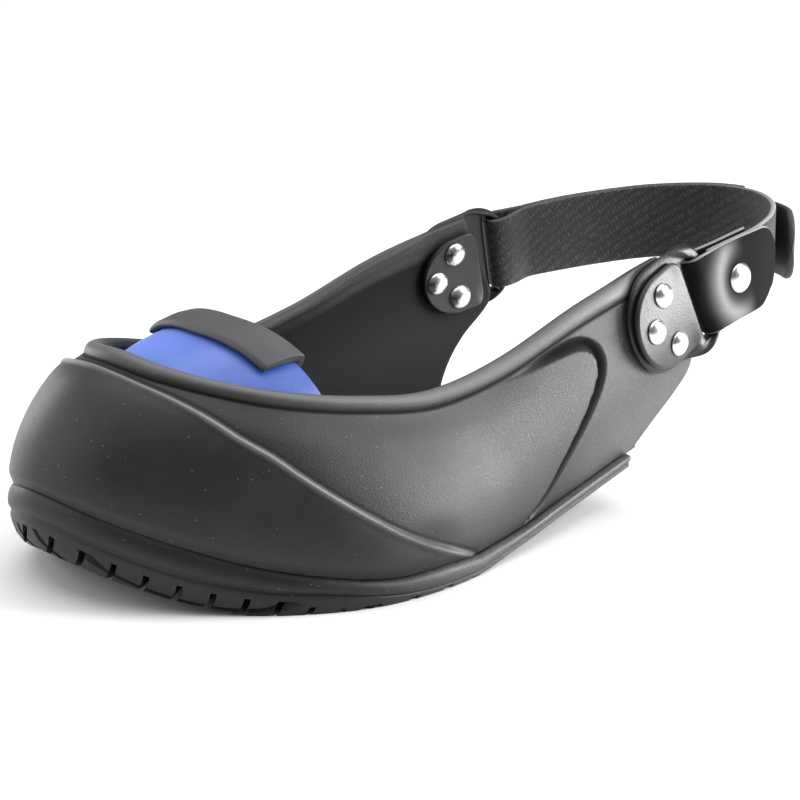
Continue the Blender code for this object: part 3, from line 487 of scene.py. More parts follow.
def rib_at(rib):
    """Row of the rib table at any signed rib number, on a smooth curve through the rows."""
    place = np.clip(np.asarray(rib, float) + LAST_RIB, 0.0, 2 * LAST_RIB - 1e-9)
    index = place.astype(int)
    share = (place - index)[..., None]
    top = 2 * LAST_RIB
    before = ALL_RIBS[np.clip(index - 1, 0, top)]
    start = ALL_RIBS[index]
    stop = ALL_RIBS[index + 1]
    after = ALL_RIBS[np.clip(index + 2, 0, top)]
    before = np.where((index == 0)[..., None], 2 * start - stop, before)
    after = np.where((index >= top - 1)[..., None], 2 * stop - start, after)
    first = (stop - before) * share
    second = (2 * before - 5 * start + 4 * stop - after) * share ** 2
    third = (3 * start - 3 * stop + after - before) * share ** 3
    return 0.5 * (2 * start + first + second + third)


def foot_line(rib):
    """Line along which the wall meets the sole's lip."""
    row = rib_at(rib)
    x = row[..., 0]
    reach, widest, spread = BULGE
    bulge = reach * bump(np.asarray(rib, float) - widest, spread)
    return np.stack((x, row[..., 1] + swing(x) + bulge, lip_height(x) + spring(x)), -1)


def foot_outward(rib):
    """Level direction away from the shoe at the foot line."""
    along = unit((foot_line(np.asarray(rib) + 0.02) - foot_line(np.asarray(rib) - 0.02))[..., :2])
    return np.stack((along[..., 1], -along[..., 0], 0.0 * along[..., 0]), -1)


def wall_point(rib, share):
    """Point of the outside of the wall. A share below 0 goes straight down from the foot line."""
    rib = np.asarray(rib, float)
    share = np.asarray(share, float)
    row = rib_at(rib)
    foot = foot_line(rib)
    out = foot_outward(rib)
    more, more_from, more_length = DROP_REAR
    drop = 0.5 * MEDIAL_DROP * (1.0 - np.tanh(row[..., 3] / DROP_WIDTH))
    drop = drop * smooth((DROP_FROM - row[..., 2]) / DROP_LENGTH)
    drop = drop * (1.0 + more * np.clip((more_from - row[..., 2]) / more_length, 0.0, 1.0))
    rim = np.stack((row[..., 2], row[..., 3] + swing(row[..., 2]), row[..., 4] - drop), -1)
    up = np.array((0.0, 0.0, 1.0))
    height = (rim - foot)[..., 2:3]
    low = foot + BELLY_HEIGHT * height * up + out * row[..., 5:6]
    high = rim - row[..., 7:8] * up + out * row[..., 6:7]
    t = np.clip(share, 0.0, None)[..., None]
    point = (1 - t) ** 3 * foot + 3 * (1 - t) ** 2 * t * low + 3 * (1 - t) * t ** 2 * high + t ** 3 * rim
    below = np.clip(-share, 0.0, None)[..., None]
    return point - below * up * 10.0


def wall_normal(rib, share):
    """Outward direction of the wall."""
    rib = np.asarray(rib, float)
    share = np.clip(share, 0.005, 0.995)
    along = wall_point(rib + 0.01, share) - wall_point(rib - 0.01, share)
    rise = wall_point(rib, share + 0.005) - wall_point(rib, share - 0.005)
    return unit(np.cross(along, rise))


def wall_length(ribs):
    """Length of the wall's section from its foot to its rim."""
    shares = np.linspace(0.0, 1.0, 25)
    points = wall_point(np.repeat(ribs[:, None], 25, axis=1), np.repeat(shares[None], len(ribs), axis=0))
    return np.sum(np.linalg.norm(np.diff(points, axis=1), axis=2), axis=1)


def wall_depth(rib):
    """How far the wall goes down behind the lip, as a negative height share."""
    x = foot_line(rib)[..., 0]
    depth = lip_height(x) + spring(x) - sole_height(x, np.full_like(x, SOLE_TOP)) - 0.3
    return depth / 10.0


# Modelling helpers

def deselect():
    if bpy.context.mode != "OBJECT":
        bpy.ops.object.mode_set(mode="OBJECT")
    bpy.ops.object.select_all(action="DESELECT")


def select(piece):
    """Makes one piece the only selected one and the active one."""
    deselect()
    piece.select_set(True)
    bpy.context.view_layer.objects.active = piece


def edit(piece):
    """Opens one piece in edit mode with everything on it selected."""
    select(piece)
    bpy.ops.object.mode_set(mode="EDIT")
    bpy.ops.mesh.select_all(action="SELECT")


def apply_modifiers(piece):
    """Applies a piece's modifiers in their order."""
    select(piece)
    for step in list(piece.modifiers):
        bpy.ops.object.modifier_apply(modifier=step.name)


def round_edges(piece, name, width, angle):
    """Adds a bevel to the edges that are sharper than an angle."""
    edge = piece.modifiers.new(name, "BEVEL")
    edge.width = width
    edge.segments = EDGE_SEGMENTS
    edge.limit_method = "ANGLE"
    edge.angle_limit = math.radians(angle)


def name_new(name):
    """Names the primitive that was just added."""
    piece = bpy.context.active_object
    piece.name = name
    piece.data.name = name
    return piece


def points_of(piece):
    """Points of a piece, in metres."""
    spots = np.empty(len(piece.data.vertices) * 3, np.float32)
    piece.data.vertices.foreach_get("co", spots)
    return spots.reshape(-1, 3)


def move_points(piece, points):
    """Moves a piece's points to places in millimetres."""
    piece.data.vertices.foreach_set("co", (points * MM).astype(np.float32).ravel())
    piece.data.update()


def shaped_grid(name, points):
    """Grid primitive whose rows and columns follow an array of points in millimetres."""
    rows, columns = points.shape[:2]
    deselect()
    bpy.ops.mesh.primitive_grid_add(x_subdivisions=columns - 1, y_subdivisions=rows - 1, size=1.0)
    piece = name_new(name)
    move_points(piece, points)
    return piece


def closed(rows):
    """Rows of points with the first column repeated at the end, for a surface that runs round."""
    rows = np.asarray(rows)
    return np.concatenate((rows, rows[:, :1]), axis=1)


def weld(piece, outward=True):
    """Merges seams and poles, turns the faces of a closed surface outwards and shades it smooth."""
    edit(piece)
    bpy.ops.mesh.remove_doubles(threshold=WELD_DISTANCE)
    if outward:
        bpy.ops.mesh.normals_make_consistent(inside=False)
    bpy.ops.object.mode_set(mode="OBJECT")
    bpy.ops.object.shade_smooth()


def fill_ends(piece):
    """Merges seams, closes the open ends with faces and turns all faces outwards."""
    edit(piece)
    bpy.ops.mesh.remove_doubles(threshold=WELD_DISTANCE)
    bpy.ops.mesh.select_all(action="DESELECT")
    bpy.ops.mesh.select_non_manifold()
    bpy.ops.mesh.fill_holes(sides=0)
    bpy.ops.mesh.select_all(action="SELECT")
    bpy.ops.mesh.normals_make_consistent(inside=False)
    bpy.ops.object.mode_set(mode="OBJECT")


def note(piece, name, values):
    """Stores one number for each point of a piece, for its material."""
    layer = piece.data.attributes.new(name, "FLOAT", "POINT")
    layer.data.foreach_set("value", np.asarray(values, np.float32).ravel())


def settle(piece, material, slot, *nodes):
    """Gives a finished piece its material and its place in the frame."""
    piece.data.materials.clear()
    piece.data.materials.append(material)
    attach(piece, "root")
    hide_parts(*nodes)
    return piece


# Upper

def column_table(side):
    """Grid columns of one half: which stretch each is in, its share there, its pinch at the wing end."""
    stretch = []
    place = []
    pinch = []
    for number, count in enumerate(UPPER_COLUMNS[:3]):
        u = np.linspace(0.0, 1.0, count, endpoint=False)
        u = u - 0.75 * np.sin(2.0 * np.pi * u) / (2.0 * np.pi)
        stretch.extend([number] * count)
        place.extend(u)
        pinch.extend([1.0] * count)
    for turn in np.linspace(0.0, 0.5 * np.pi, UPPER_COLUMNS[3]):
        stretch.append(3)
        place.append(math.sin(turn))
        pinch.append(math.cos(turn))
    table = np.column_stack((np.full(len(stretch), side), stretch, place, pinch))
    return table if side > 0 else table[:0:-1]


COLUMN_TABLE = np.vstack((column_table(-1), column_table(1)))


def column_ribs(shares):
    """Signed rib number of every grid column, each at its own height share."""
    side, stretch, place, _ = COLUMN_TABLE.T
    toe = guide(TOE_COLUMNS, shares)
    panel = guide(SIDE_COLUMNS, shares)
    end = np.where(side > 0, guide(WING_END, shares, 1), guide(WING_END, shares, 2))
    start = np.choose(stretch.astype(int), (0.0 * toe, toe, panel, end - END_ROUND_RIBS))
    stop = np.choose(stretch.astype(int), (toe, panel, end - END_ROUND_RIBS, end))
    return side * (start + (stop - start) * place)


def edge_distance(edge, ribs, shares):
    """Distance in millimetres of wall places from an edge line, on whichever side of the shoe they are."""
    line = catmull(edge, 24)
    spots = wall_point(np.abs(ribs), np.clip(shares, 0.0, 1.0))
    marks = wall_point(line[:, 0], np.clip(line[:, 1], 0.0, 1.0))
    return np.min(np.linalg.norm(spots[:, None, :] - marks[None, :, :], axis=2), axis=1)


def panel_relief(ribs, shares, sizes):
    """Raised toe panel with a ridge along its edge, and side panel with a groove behind it. Also the painted
    shade in the groove and beside the ridge, a darker, rougher patch low on the side and a painted highlight
    along the ridge.
    """
    side = np.abs(ribs)
    toe_order = TOE_EDGE[:, 0]
    below_toe = shares < np.interp(side, toe_order, TOE_EDGE[:, 1], right=-1.0)
    to_toe = edge_distance(TOE_EDGE, ribs, shares) * np.where(below_toe, 1.0, -1.0)
    top = SIDE_EDGE[:8]
    rear = SIDE_EDGE[:7:-1]
    inside = (shares < np.interp(side, top[:, 0], top[:, 1], right=-1.0)) | (shares < rear[-1, 1])
    inside = inside & (side < np.interp(shares, rear[:, 1], rear[:, 0], right=7.14))
    to_side = edge_distance(SIDE_EDGE, ribs, shares) * np.where(inside, 1.0, -1.0)
    edge = sizes.edge_width / MM
    crisp = smooth(0.5 + to_side / edge)
    soft = 1.0 - smooth((shares - PANEL_FADE[0]) / PANEL_FADE[1])
    rearward = smooth((side - PANEL_CRISP[0]) / PANEL_CRISP[1])
    level = sizes.side_step / MM * (rearward * crisp + (1.0 - rearward) * soft)
    narrow, full_share = GROOVE_FOOT
    span = 0.5 * sizes.groove_span / MM * (narrow + (1.0 - narrow) * smooth(shares / full_share))
    full_below, start, length = GROOVE_FULL
    present = np.where(shares < full_below, 1.0, smooth((side - start) / length))
    hollow = np.clip(1.0 - ((to_side + GROOVE_BEHIND) / span) ** 2, 0.0, 1.0) ** 0.5 * present
    raised = sizes.toe_step / MM * smooth(0.5 + to_toe / edge)
    ridge = band_of(to_toe, *RIDGE)
    # Painted shade in the groove and beside the ridge, and a darker, rougher patch low on the side
    shaded = np.exp(-((to_side + GROOVE_BEHIND) / (GROOVE_SHADE * span)) ** 4) * present
    dark_patch = band_of(side, *SIDE_DARK_PATCH[:3]) * bump(shares - SIDE_DARK_PATCH[3], SIDE_DARK_PATCH[4])
    crease = np.maximum(band_of(to_toe, *RIDGE_SHADE) + shaded, dark_patch)
    held = sizes.foot_share + (1.0 - sizes.foot_share) * smooth(shares / FOOT_FADE)
    height = (raised + sizes.edge_ridge / MM * ridge + level) * held - sizes.groove_depth / MM * hollow
    # Returns the relief, the painted shade with the darker patch, and the painted highlight along the ridge
    return height, crease, band_of(to_toe, *RIDGE_HIGHLIGHT) * smooth(shares / full_share)


def wall_sheen(ribs, shares):
    """Painted sheen of the outside: how far it is painted paler along the side and low on the wing."""
    strength, start, length = LOW_SHEEN
    low = strength * smooth((np.abs(ribs) - start) / length)
    low = low * (1.0 - smooth((shares - LOW_SHEEN_END[0]) / LOW_SHEEN_END[1]))
    strength, start, length = SIDE_SHEEN
    at_foot, full_share = SIDE_SHEEN_RISE
    side = strength * smooth((np.abs(ribs) - start) / length)
    return side * (at_foot + (1.0 - at_foot) * smooth(shares / full_share)) + low


def build_upper(sizes):
    """Wall as one closed surface: outside, rolled rim, inside, foot."""
    wall = sizes.wall / MM
    count = len(COLUMN_TABLE)
    pinch = COLUMN_TABLE[:, 3]
    crown = column_ribs(np.ones(count))
    length = wall_length(crown)
    bead = catmull(RIM_BEAD, BEAD_STEPS)
    top_share = 1.0 - RIM_BEAD[0, 0] / length
    fade = 1.0 - smooth((np.abs(crown) - BEAD_ENDS[0]) / (BEAD_ENDS[1] - BEAD_ENDS[0]))
    base = column_ribs(np.zeros(count))
    foot = (base, -wall_depth(base))
    turn, low_rows, high_rows = UPPER_ROWS
    low = np.linspace(0.0, turn, low_rows, endpoint=False)
    rises = np.concatenate((low, np.linspace(turn, 1.0, high_rows, endpoint=False)))
    rings = []
    creases = []
    highlight_shares = []
    painted_sheens = []

    # Each ring stores its share of painted shade, of painted highlight and of painted sheen
    def add(ribs, shares, offset, crease, painted_highlight, painted_sheen=1.0):
        middle = -0.5 * wall
        held = middle + (offset - middle) * pinch
        rings.append(wall_point(ribs, shares) + wall_normal(ribs, shares) * held[:, None])
        creases.append(crease)
        highlight_shares.append(painted_highlight)
        painted_sheens.append(painted_sheen * wall_sheen(ribs, shares))

    nothing = np.zeros(count)
    add(*foot, nothing, nothing, nothing)
    add(base, nothing, nothing, nothing, nothing)
    for rise in rises:
        shares = rise * top_share + 0.001
        ribs = column_ribs(shares)
        height, crease, painted_highlight = panel_relief(ribs, shares, sizes)
        near_bead = 1.0 - fade * smooth((rise - (1.0 - BEAD_BLEND)) / BEAD_BLEND)
        add(ribs, shares, height * near_bead, crease, painted_highlight)
    for below, offset in bead:
        shares = 1.0 - below / length
        outer = offset > BEAD_INSIDE
        plain = 0.0 if outer else -wall
        # Painted shade under the bead and painted highlight on its top
        shade = band_of(below, *BEAD_SHADE) if outer else 0.0
        bead_highlight = band_of(below, *BEAD_HIGHLIGHT) if outer else 0.0
        add(column_ribs(shares), shares, plain + (offset - plain) * fade, shade * fade, bead_highlight * fade)
    # The inside gets painted shade and no painted highlight or painted sheen
    inner = (nothing - wall, nothing + INNER_SHADE, nothing, 0.0)
    for rise in np.linspace(0.0, 1.0, INNER_ROWS, endpoint=False)[::-1]:
        shares = rise * top_share
        add(column_ribs(shares), shares, *inner)
    add(*foot, *inner)
    for rows in (rings, creases, highlight_shares, painted_sheens):
        rows.append(rows[0])
    piece = shaped_grid("overshoe_upper", np.array(rings))
    for label, values in (("crease", creases), ("painted_highlight", highlight_shares), ("painted_sheen", painted_sheens)):
        note(piece, label, np.array(values))
    weld(piece)
    return piece


# Sole

def sole_ring(offset, inset):
    """Outline of the sole in plan, at an offset from the foot line."""
    ribs = np.linspace(SOLE_END_RIB, -SOLE_END_RIB, SOLE_STATIONS)
    foot = foot_line(ribs)[:, :2]
    reach = offset - inset * smooth((foot[:, 0] - INSET_FROM) / INSET_LENGTH)
    side = foot + foot_outward(ribs)[:, :2] * reach[:, None]
    share = np.linspace(0.0, 1.0, REAR_STATIONS)[:, None]
    share = np.clip(share, REAR_CORNER, 1.0 - REAR_CORNER)
    rear = side[-1] + (side[0] - side[-1]) * share
    rear[:, 0] -= REAR_BOW * np.sin(np.pi * share[:, 0])
    return np.vstack((side, rear))


def groove_depth(x, from_edge):
    """Depth of a groove: shallow along the sole's edge, deep at the toe and in the middle of the tread."""
    sides, toe, start, length = EDGE_GROOVE
    rear = smooth((REAR_PLAIN[0] - x) / REAR_PLAIN[1])
    edge = sides + (toe - sides) * smooth((x - start) / length) - (sides + UNCUT) * rear
    return edge + (TREAD_DEPTH - edge) * smooth((from_edge - EDGE_INSET[0]) / EDGE_INSET[1])


def groove_bar(middle, along, across, width, lean, outline):
    """Bar that cuts one groove. Its upper side follows the groove's depth."""
    runs = np.linspace(-GROOVE_REACH, GROOVE_REACH, GROOVE_STEPS)
    spots = middle + runs[:, None] * along
    from_edge = np.min(np.linalg.norm(spots[:, None, :] - outline[None, :, :], axis=2), axis=1)
    ahead = np.roll(outline, -1, axis=0)
    level = (outline[None, :, 1] > spots[:, 1:2]) != (ahead[None, :, 1] > spots[:, 1:2])
    lift = np.where(ahead[:, 1] == outline[:, 1], 1e-9, ahead[:, 1] - outline[:, 1])
    cross = outline[None, :, 0] + (spots[:, 1:2] - outline[None, :, 1]) / lift * (ahead - outline)[None, :, 0]
    inside = np.sum(level & (cross > spots[:, 0:1]), axis=1) % 2 == 1
    depth = groove_depth(spots[:, 0], np.where(inside, from_edge, 0.0))
    turns = np.abs(np.diff(depth, 2)) > GROOVE_TURN
    keep = np.concatenate(([True], turns, [True]))
    rows = []
    for spot, top in zip(spots[keep], depth[keep]):
        low = spot - lean * GROOVE_BELOW * across
        high = spot + lean * top * across
        half = 0.5 * width * across
        rows.append(((*(low - half), -GROOVE_BELOW), (*(low + half), -GROOVE_BELOW), (*(high + half), top),
                     (*(high - half), top)))
    rows = np.array(rows)
    first = np.repeat(rows[:1].mean(axis=1, keepdims=True), 4, axis=1)
    last = np.repeat(rows[-1:].mean(axis=1, keepdims=True), 4, axis=1)
    bar = shaped_grid("groove_bar", closed(np.concatenate((first, rows, last))))
    weld(bar)
    return bar


def groove_bars(angle, lean, sizes, outline):
    """Bars of one direction of grooves that cross the sole."""
    turn = math.radians(angle)
    along = np.array((math.cos(turn), math.sin(turn)))
    across = np.array((-math.sin(turn), math.cos(turn)))
    bars = []
    for step in range(-GROOVE_LINES, GROOVE_LINES):
        middle = (step + 0.5) * sizes.groove_pitch / MM * across
        bars.append(groove_bar(middle, along, across, sizes.groove_width / MM, lean, outline))
    return bars


def join(pieces):
    """Joins pieces to one."""
    deselect()
    for piece in pieces:
        piece.select_set(True)
    bpy.context.view_layer.objects.active = pieces[0]
    bpy.ops.object.join()
    return pieces[0]


def build_sole(sizes):
    """Sole: modelled flat, cut by the grooves of its tread, then bent."""
    count = SOLE_STATIONS + REAR_STATIONS
    at_rear = np.arange(count) >= SOLE_STATIONS
    rows = []
    plan = sole_ring(0.0, 0.0)
    toeward = smooth((plan[:, 0] - STEP_FROM) / STEP_LENGTH)
    for offset, at_toe, at_rear_end in SOLE_SIDE:
        inset = TOE_INSET * np.clip((INSET_TOP - at_toe) / INSET_TOP, 0.0, 1.0)
        level = at_rear_end + (at_toe - at_rear_end) * toeward
        if at_toe > SOLE_TOP and at_rear_end > SOLE_TOP:
            low_lip = SOLE_TOP + REAR_LIP * (at_toe - SOLE_TOP) / (LIP_BALL - SOLE_TOP)
            level = np.where(at_rear, low_lip, level)
        rows.append(np.column_stack((sole_ring(offset, inset), level)))
    piece = shaped_grid("overshoe_sole", closed(rows))
    fill_ends(piece)
    for angle, lean in GROOVE_ANGLES:
        cutter = join(groove_bars(angle, lean, sizes, plan))
        step = piece.modifiers.new("grooves", "BOOLEAN")
        step.operation = "DIFFERENCE"
        step.solver = "EXACT"
        step.object = cutter
        apply_modifiers(piece)
        bpy.data.objects.remove(cutter)
    edit(piece)
    for x in np.arange(*SOLE_CUTS):
        bpy.ops.mesh.select_all(action="SELECT")
        bpy.ops.mesh.bisect(plane_co=(x * MM, 0.0, 0.0), plane_no=(1.0, 0.0, 0.0))
    bpy.ops.mesh.select_all(action="SELECT")
    bpy.ops.mesh.quads_convert_to_tris()
    bpy.ops.object.mode_set(mode="OBJECT")
    spots = points_of(piece) / MM
    spots[:, 2] = sole_height(spots[:, 0], spots[:, 2])
    move_points(piece, spots)
    # Painted sheen: the sole is painted paler to the rear
    note(piece, "painted_sheen", SOLE_SHEEN * smooth((SHEEN_FROM - spots[:, 0]) / SHEEN_LENGTH))
    select(piece)
    bpy.ops.object.shade_smooth_by_angle(angle=math.radians(SOLE_SMOOTH))
    return piece


# Toe cap and its guard

def cap_reach(angle):
    """Distance of the cap's foot from its middle, in a direction in plan."""
    share = (np.abs(np.cos(angle)) / CAP_LENGTH) ** CAP_PLAN_POWER
    share = share + (np.abs(np.sin(angle)) / CAP_HALF_WIDTH) ** CAP_PLAN_POWER
    return share ** (-1.0 / CAP_PLAN_POWER)


def cap_point(ahead, side):
    """Point of the cap over a plan place: distance in front of the rear rim, distance to the side."""
    ahead = np.asarray(ahead, float)
    side = np.asarray(side, float)
    angle = np.arctan2(side, np.clip(ahead, 1e-9, None))
    reach = cap_reach(angle)
    share = np.clip(np.hypot(np.clip(ahead, 0.0, None), side) / reach, 0.0, 1.0)
    power = CAP_FRONT_POWER + (CAP_SIDE_POWER - CAP_FRONT_POWER) * np.sin(angle) ** 2
    rake = CAP_RAKE * (side / CAP_RAKE_WIDTH) ** 2
    foot_x = CAP_REAR + reach * np.cos(angle) - CAP_RAKE * (reach * np.sin(angle) / CAP_RAKE_WIDTH) ** 2
    base = sole_height(foot_x, np.full_like(foot_x, SOLE_TOP)) + CAP_LIFT
    x = CAP_REAR + ahead - rake
    z = base + (CAP_TOP - base) * (1.0 - share ** power) ** (1.0 / power)
    return np.stack((x, side + swing(x), z), -1)


def build_cap():
    """Toe cap: a dome with the thickness of sheet metal and a rounded rim."""
    rows, columns = CAP_GRID
    angle, share = np.meshgrid(np.linspace(-0.5 * np.pi, 0.5 * np.pi, rows), np.linspace(0.0, 1.0, columns),
                               indexing="ij")
    power = CAP_FRONT_POWER + (CAP_SIDE_POWER - CAP_FRONT_POWER) * np.sin(angle) ** 2
    radius = cap_reach(angle) * np.sin(share * 0.5 * np.pi) ** (2.0 / power)
    spots = cap_point(radius * np.cos(angle), radius * np.sin(angle))
    piece = shaped_grid("overshoe_toe_cap", spots)
    # Painted light and shade: paler to the medial side, deeper to the lateral side
    note(piece, "shade", smooth((spots[..., 1] - CAP_PAINTED_SHADE[0]) / CAP_PAINTED_SHADE[1]))
    weld(piece, outward=False)
    shell = piece.modifiers.new("sheet metal", "SOLIDIFY")
    shell.thickness = CAP_WALL * MM
    shell.offset = -1.0
    round_edges(piece, "rolled edge", *CAP_EDGE)
    apply_modifiers(piece)
    return piece


def guard_normal(ahead, side):
    """Outward direction of the cap."""
    front = cap_point(ahead + 0.2, side) - cap_point(ahead, side)
    across = cap_point(ahead, side + 0.2) - cap_point(ahead, side - 0.2)
    return unit(np.cross(front, across))


def rounded(section, radius, steps):
    """Closed outline with its corners rounded off."""
    line = []
    count = len(section)
    for i in range(count):
        here = section[i]
        before = section[i - 1] - here
        after = section[(i + 1) % count] - here
        cut = min(radius, 0.45 * np.linalg.norm(before), 0.45 * np.linalg.norm(after))
        start = here + before / np.linalg.norm(before) * cut
        stop = here + after / np.linalg.norm(after) * cut
        for t in np.linspace(0.0, 1.0, steps):
            line.append((1 - t) ** 2 * start + 2 * t * (1 - t) * here + t ** 2 * stop)
    return np.array(line)


def build_guard():
    """Guard: a hooked section carried along the cap's rear rim."""
    section = rounded(GUARD_SECTION, *GUARD_ROUND)
    rows = []
    for side in np.linspace(-GUARD_HALF_WIDTH, GUARD_HALF_WIDTH, GUARD_STATIONS):
        ahead = section[:, 0]
        held = np.maximum(ahead, 0.0)
        sides = np.full(len(section), side)
        spots = cap_point(held, sides) + guard_normal(held, sides) * section[:, 1:2]
        spots[:, 0] += np.minimum(ahead, 0.0)
        rows.append(spots)
    piece = shaped_grid("overshoe_cap_guard", closed(rows))
    fill_ends(piece)
    round_edges(piece, "moulded edge", *GUARD_EDGE)
    apply_modifiers(piece)
    bpy.ops.object.shade_smooth_by_angle(angle=math.radians(GUARD_SMOOTH))
    return piece


# Fittings of the wings

def fitting_frame(side):
    """Origin, rear axis, cross axis and outward normal of the fittings of one wing. side is 1 or -1."""
    rib = np.array(side * FITTING_RIB[side])
    share = np.array(FITTING_SHARE)
    normal = wall_normal(rib, share)
    rear = wall_point(rib + side * 0.02, share) - wall_point(rib, share)
    rear[2] = 0.0
    rear = unit(rear - normal * np.dot(rear, normal))
    up = np.cross(normal, rear) * side
    up = up if up[2] > 0 else -up
    tilt = math.radians(FITTING_TILT[side])
    a_axis = math.cos(tilt) * rear + math.sin(tilt) * up
    b_axis = -math.sin(tilt) * rear + math.cos(tilt) * up
    return wall_point(rib, share), a_axis, b_axis, normal


def fitting_place(side, a, b):
    """Rib and height share of the wall under flat fitting coordinates, by a few Newton steps."""
    origin, a_axis, b_axis, _ = fitting_frame(side)
    a = np.asarray(a, float)
    b = np.asarray(b, float)
    rib = np.full(a.shape, side * FITTING_RIB[side])
    share = np.full(a.shape, FITTING_SHARE)
    for _ in range(12):
        here = wall_point(rib, share)
        by_rib = (wall_point(rib + 0.01, share) - here) / 0.01
        by_share = (wall_point(rib, share + 0.005) - here) / 0.005
        miss_a = a - (here - origin) @ a_axis
        miss_b = b - (here - origin) @ b_axis
        m00 = by_rib @ a_axis
        m01 = by_share @ a_axis
        m10 = by_rib @ b_axis
        m11 = by_share @ b_axis
        det = m00 * m11 - m01 * m10
        rib = rib + np.clip((miss_a * m11 - miss_b * m01) / det, -0.4, 0.4)
        share = share + np.clip((m00 * miss_b - m10 * miss_a) / det, -0.3, 0.3)
    return rib, share


def fitting_point(side, a, b, depth):
    """Point at a depth over the wall. Behind the wing the surface is straight across, for the loop's bar."""
    origin, a_axis, b_axis, normal = fitting_frame(side)
    a = np.asarray(a, float)
    b = np.asarray(b, float)
    here = wall_point(*fitting_place(side, a, b))
    middle = wall_point(*fitting_place(side, a, 0.0 * b))
    straight = smooth((a - STRAIGHT_FROM) / STRAIGHT_BLEND)
    rise = (1.0 - straight) * ((here - origin) @ normal) + straight * ((middle - origin) @ normal)
    lift = (rise + depth)[..., None]
    return origin + a[..., None] * a_axis + b[..., None] * b_axis + lift * normal


def loop_outline(side, angle):
    """Outer edge of a loop in the fitting's flat frame."""
    front = np.cos(angle) < 0.0
    a = np.where(front, LOOP_FRONT * np.cos(angle), 0.0)
    b = LOOP_HALF * np.sin(angle)
    rear_a = LOOP_REAR * np.abs(np.cos(angle)) ** LOOP_POWER
    rear_b = LOOP_HALF * signed_power(np.sin(angle), LOOP_POWER)
    rear_b = rear_b * (1.0 - (1.0 - LOOP_REAR_HALF / LOOP_HALF) * smooth(rear_a / LOOP_REAR))
    rear_b = rear_b - np.where(rear_b < 0.0, LOOP_SAG[side], 0.0) * smooth(rear_a / SAG_LENGTH)
    return np.where(front, a, rear_a), np.where(front, b, rear_b)


def window_outline(side, angle):
    """Edge of a loop's slot in the fitting's flat frame."""
    middle = 0.5 * (WINDOW_FRONT[side] + WINDOW_REAR)
    half = 0.5 * (WINDOW_REAR - WINDOW_FRONT[side])
    a = middle + half * signed_power(np.cos(angle), WINDOW_POWER)
    return a, WINDOW_HALF * signed_power(np.sin(angle), WINDOW_POWER) - LOOP_SAG[side]


def plate_outline(size, angle):
    """Edge of a D-shaped plate: round to the front, square to the rear."""
    front, rear, half = size
    ahead = np.cos(angle) < 0.0
    a = np.where(ahead, front * np.cos(angle), rear * np.abs(np.cos(angle)) ** PLATE_POWER)
    return a, half * np.where(ahead, np.sin(angle), signed_power(np.sin(angle), PLATE_POWER))


def build_loop(side, sizes):
    """Moulded ring: a rounded section carried round between the outline and the slot."""
    angle = np.linspace(0.0, 2.0 * np.pi, LOOP_STEPS[0], endpoint=False)
    outer = loop_outline(side, angle)
    inner = window_outline(side, angle)
    low, high = LAYERS["loop"]
    rows = []
    arm = smooth((outer[0] - SWELL_FROM[0]) / SWELL_FROM[1])
    for turn in np.linspace(0.0, 2.0 * np.pi, LOOP_STEPS[1], endpoint=False):
        across = 0.5 + 0.5 * signed_power(math.cos(turn), LOOP_ROUND)
        rise = signed_power(math.sin(turn), LOOP_ROUND)
        a = inner[0] + (outer[0] - inner[0]) * across
        b = inner[1] + (outer[1] - inner[1]) * across
        depth = 0.5 * (low + high) + 0.5 * (high - low) * rise * (1.0 + sizes.loop_swell * arm)
        rows.append(fitting_point(side, a, b, depth))
    rows.append(rows[0])
    piece = shaped_grid(SIDES[side] + "_loop", closed(rows))
    weld(piece)
    return piece


def build_plate(side, kind):
    """D-shaped plate: its upper side, its rounded edge and its lower side in one run of rings."""
    around, over_flat, over_edge = PLATE_STEPS
    angle = np.linspace(0.0, 2.0 * np.pi, around, endpoint=False)
    a, b = plate_outline(PLATES[kind], angle)
    low, high = LAYERS[kind]
    half = 0.5 * (high - low)
    rings = [(share, half) for share in np.linspace(0.0, PLATE_FLAT, over_flat)]
    for turn in np.linspace(0.5 * np.pi, -0.5 * np.pi, over_edge):
        rings.append((1.0 - PLATE_EDGE + PLATE_EDGE * math.cos(turn), half * math.sin(turn)))
    rings += [(share, -half) for share in np.linspace(PLATE_FLAT, 0.0, over_flat)]
    rows = []
    for share, rise in rings:
        depth = np.full(len(a), 0.5 * (low + high) + rise)
        rows.append(fitting_point(side, PLATE_MIDDLE + (a - PLATE_MIDDLE) * share, b * share, depth))
    piece = shaped_grid("%s_%s_cover" % (SIDES[side], kind), closed(rows))
    weld(piece)
    return piece


def build_rivet(name, start, axis, low, high, head, dome):
    """Two domed heads on a shank, from a sphere whose latitudes are moved to the rivet's profile."""
    deselect()
    bpy.ops.mesh.primitive_uv_sphere_add(segments=RIVET_STEPS, ring_count=RIVET_STEPS, radius=1.0)
    piece = name_new(name)
    spots = points_of(piece).astype(float)
    tilt = np.arcsin(np.clip(spots[:, 2], -1.0, 1.0)) / (0.5 * np.pi)
    side = np.sign(tilt)
    reach = np.abs(tilt)
    widths = (SHANK, SHANK, head - 0.35, head - 0.05, *(share * head for share in RIVET_DOME))
    radius = np.interp(reach, RIVET_KNOTS, widths)
    level = np.interp(reach, RIVET_KNOTS, RIVET_RISE) * dome / RIVET_RISE[-1]
    around = np.arctan2(spots[:, 1], spots[:, 0])
    height = np.where(side > 0, high + level, low - level)
    shank = RIVET_KNOTS[1]
    along = 0.5 * (low + high) + tilt / shank * 0.5 * (high - low)
    height = np.where(reach < shank, along, height)
    turn = np.array(Vector(axis).to_track_quat("Z", "Y").to_matrix())
    local = np.stack((radius * np.cos(around), radius * np.sin(around), height), -1)
    move_points(piece, start + local @ turn.T)
    bpy.ops.object.shade_smooth()
    return piece


# Strap

def bar_point(side):
    """Middle of the bar behind a loop's slot."""
    return fitting_point(side, np.array(BAR_AT), np.array(-LOOP_SAG[side]), np.array(BAR_DEPTH))


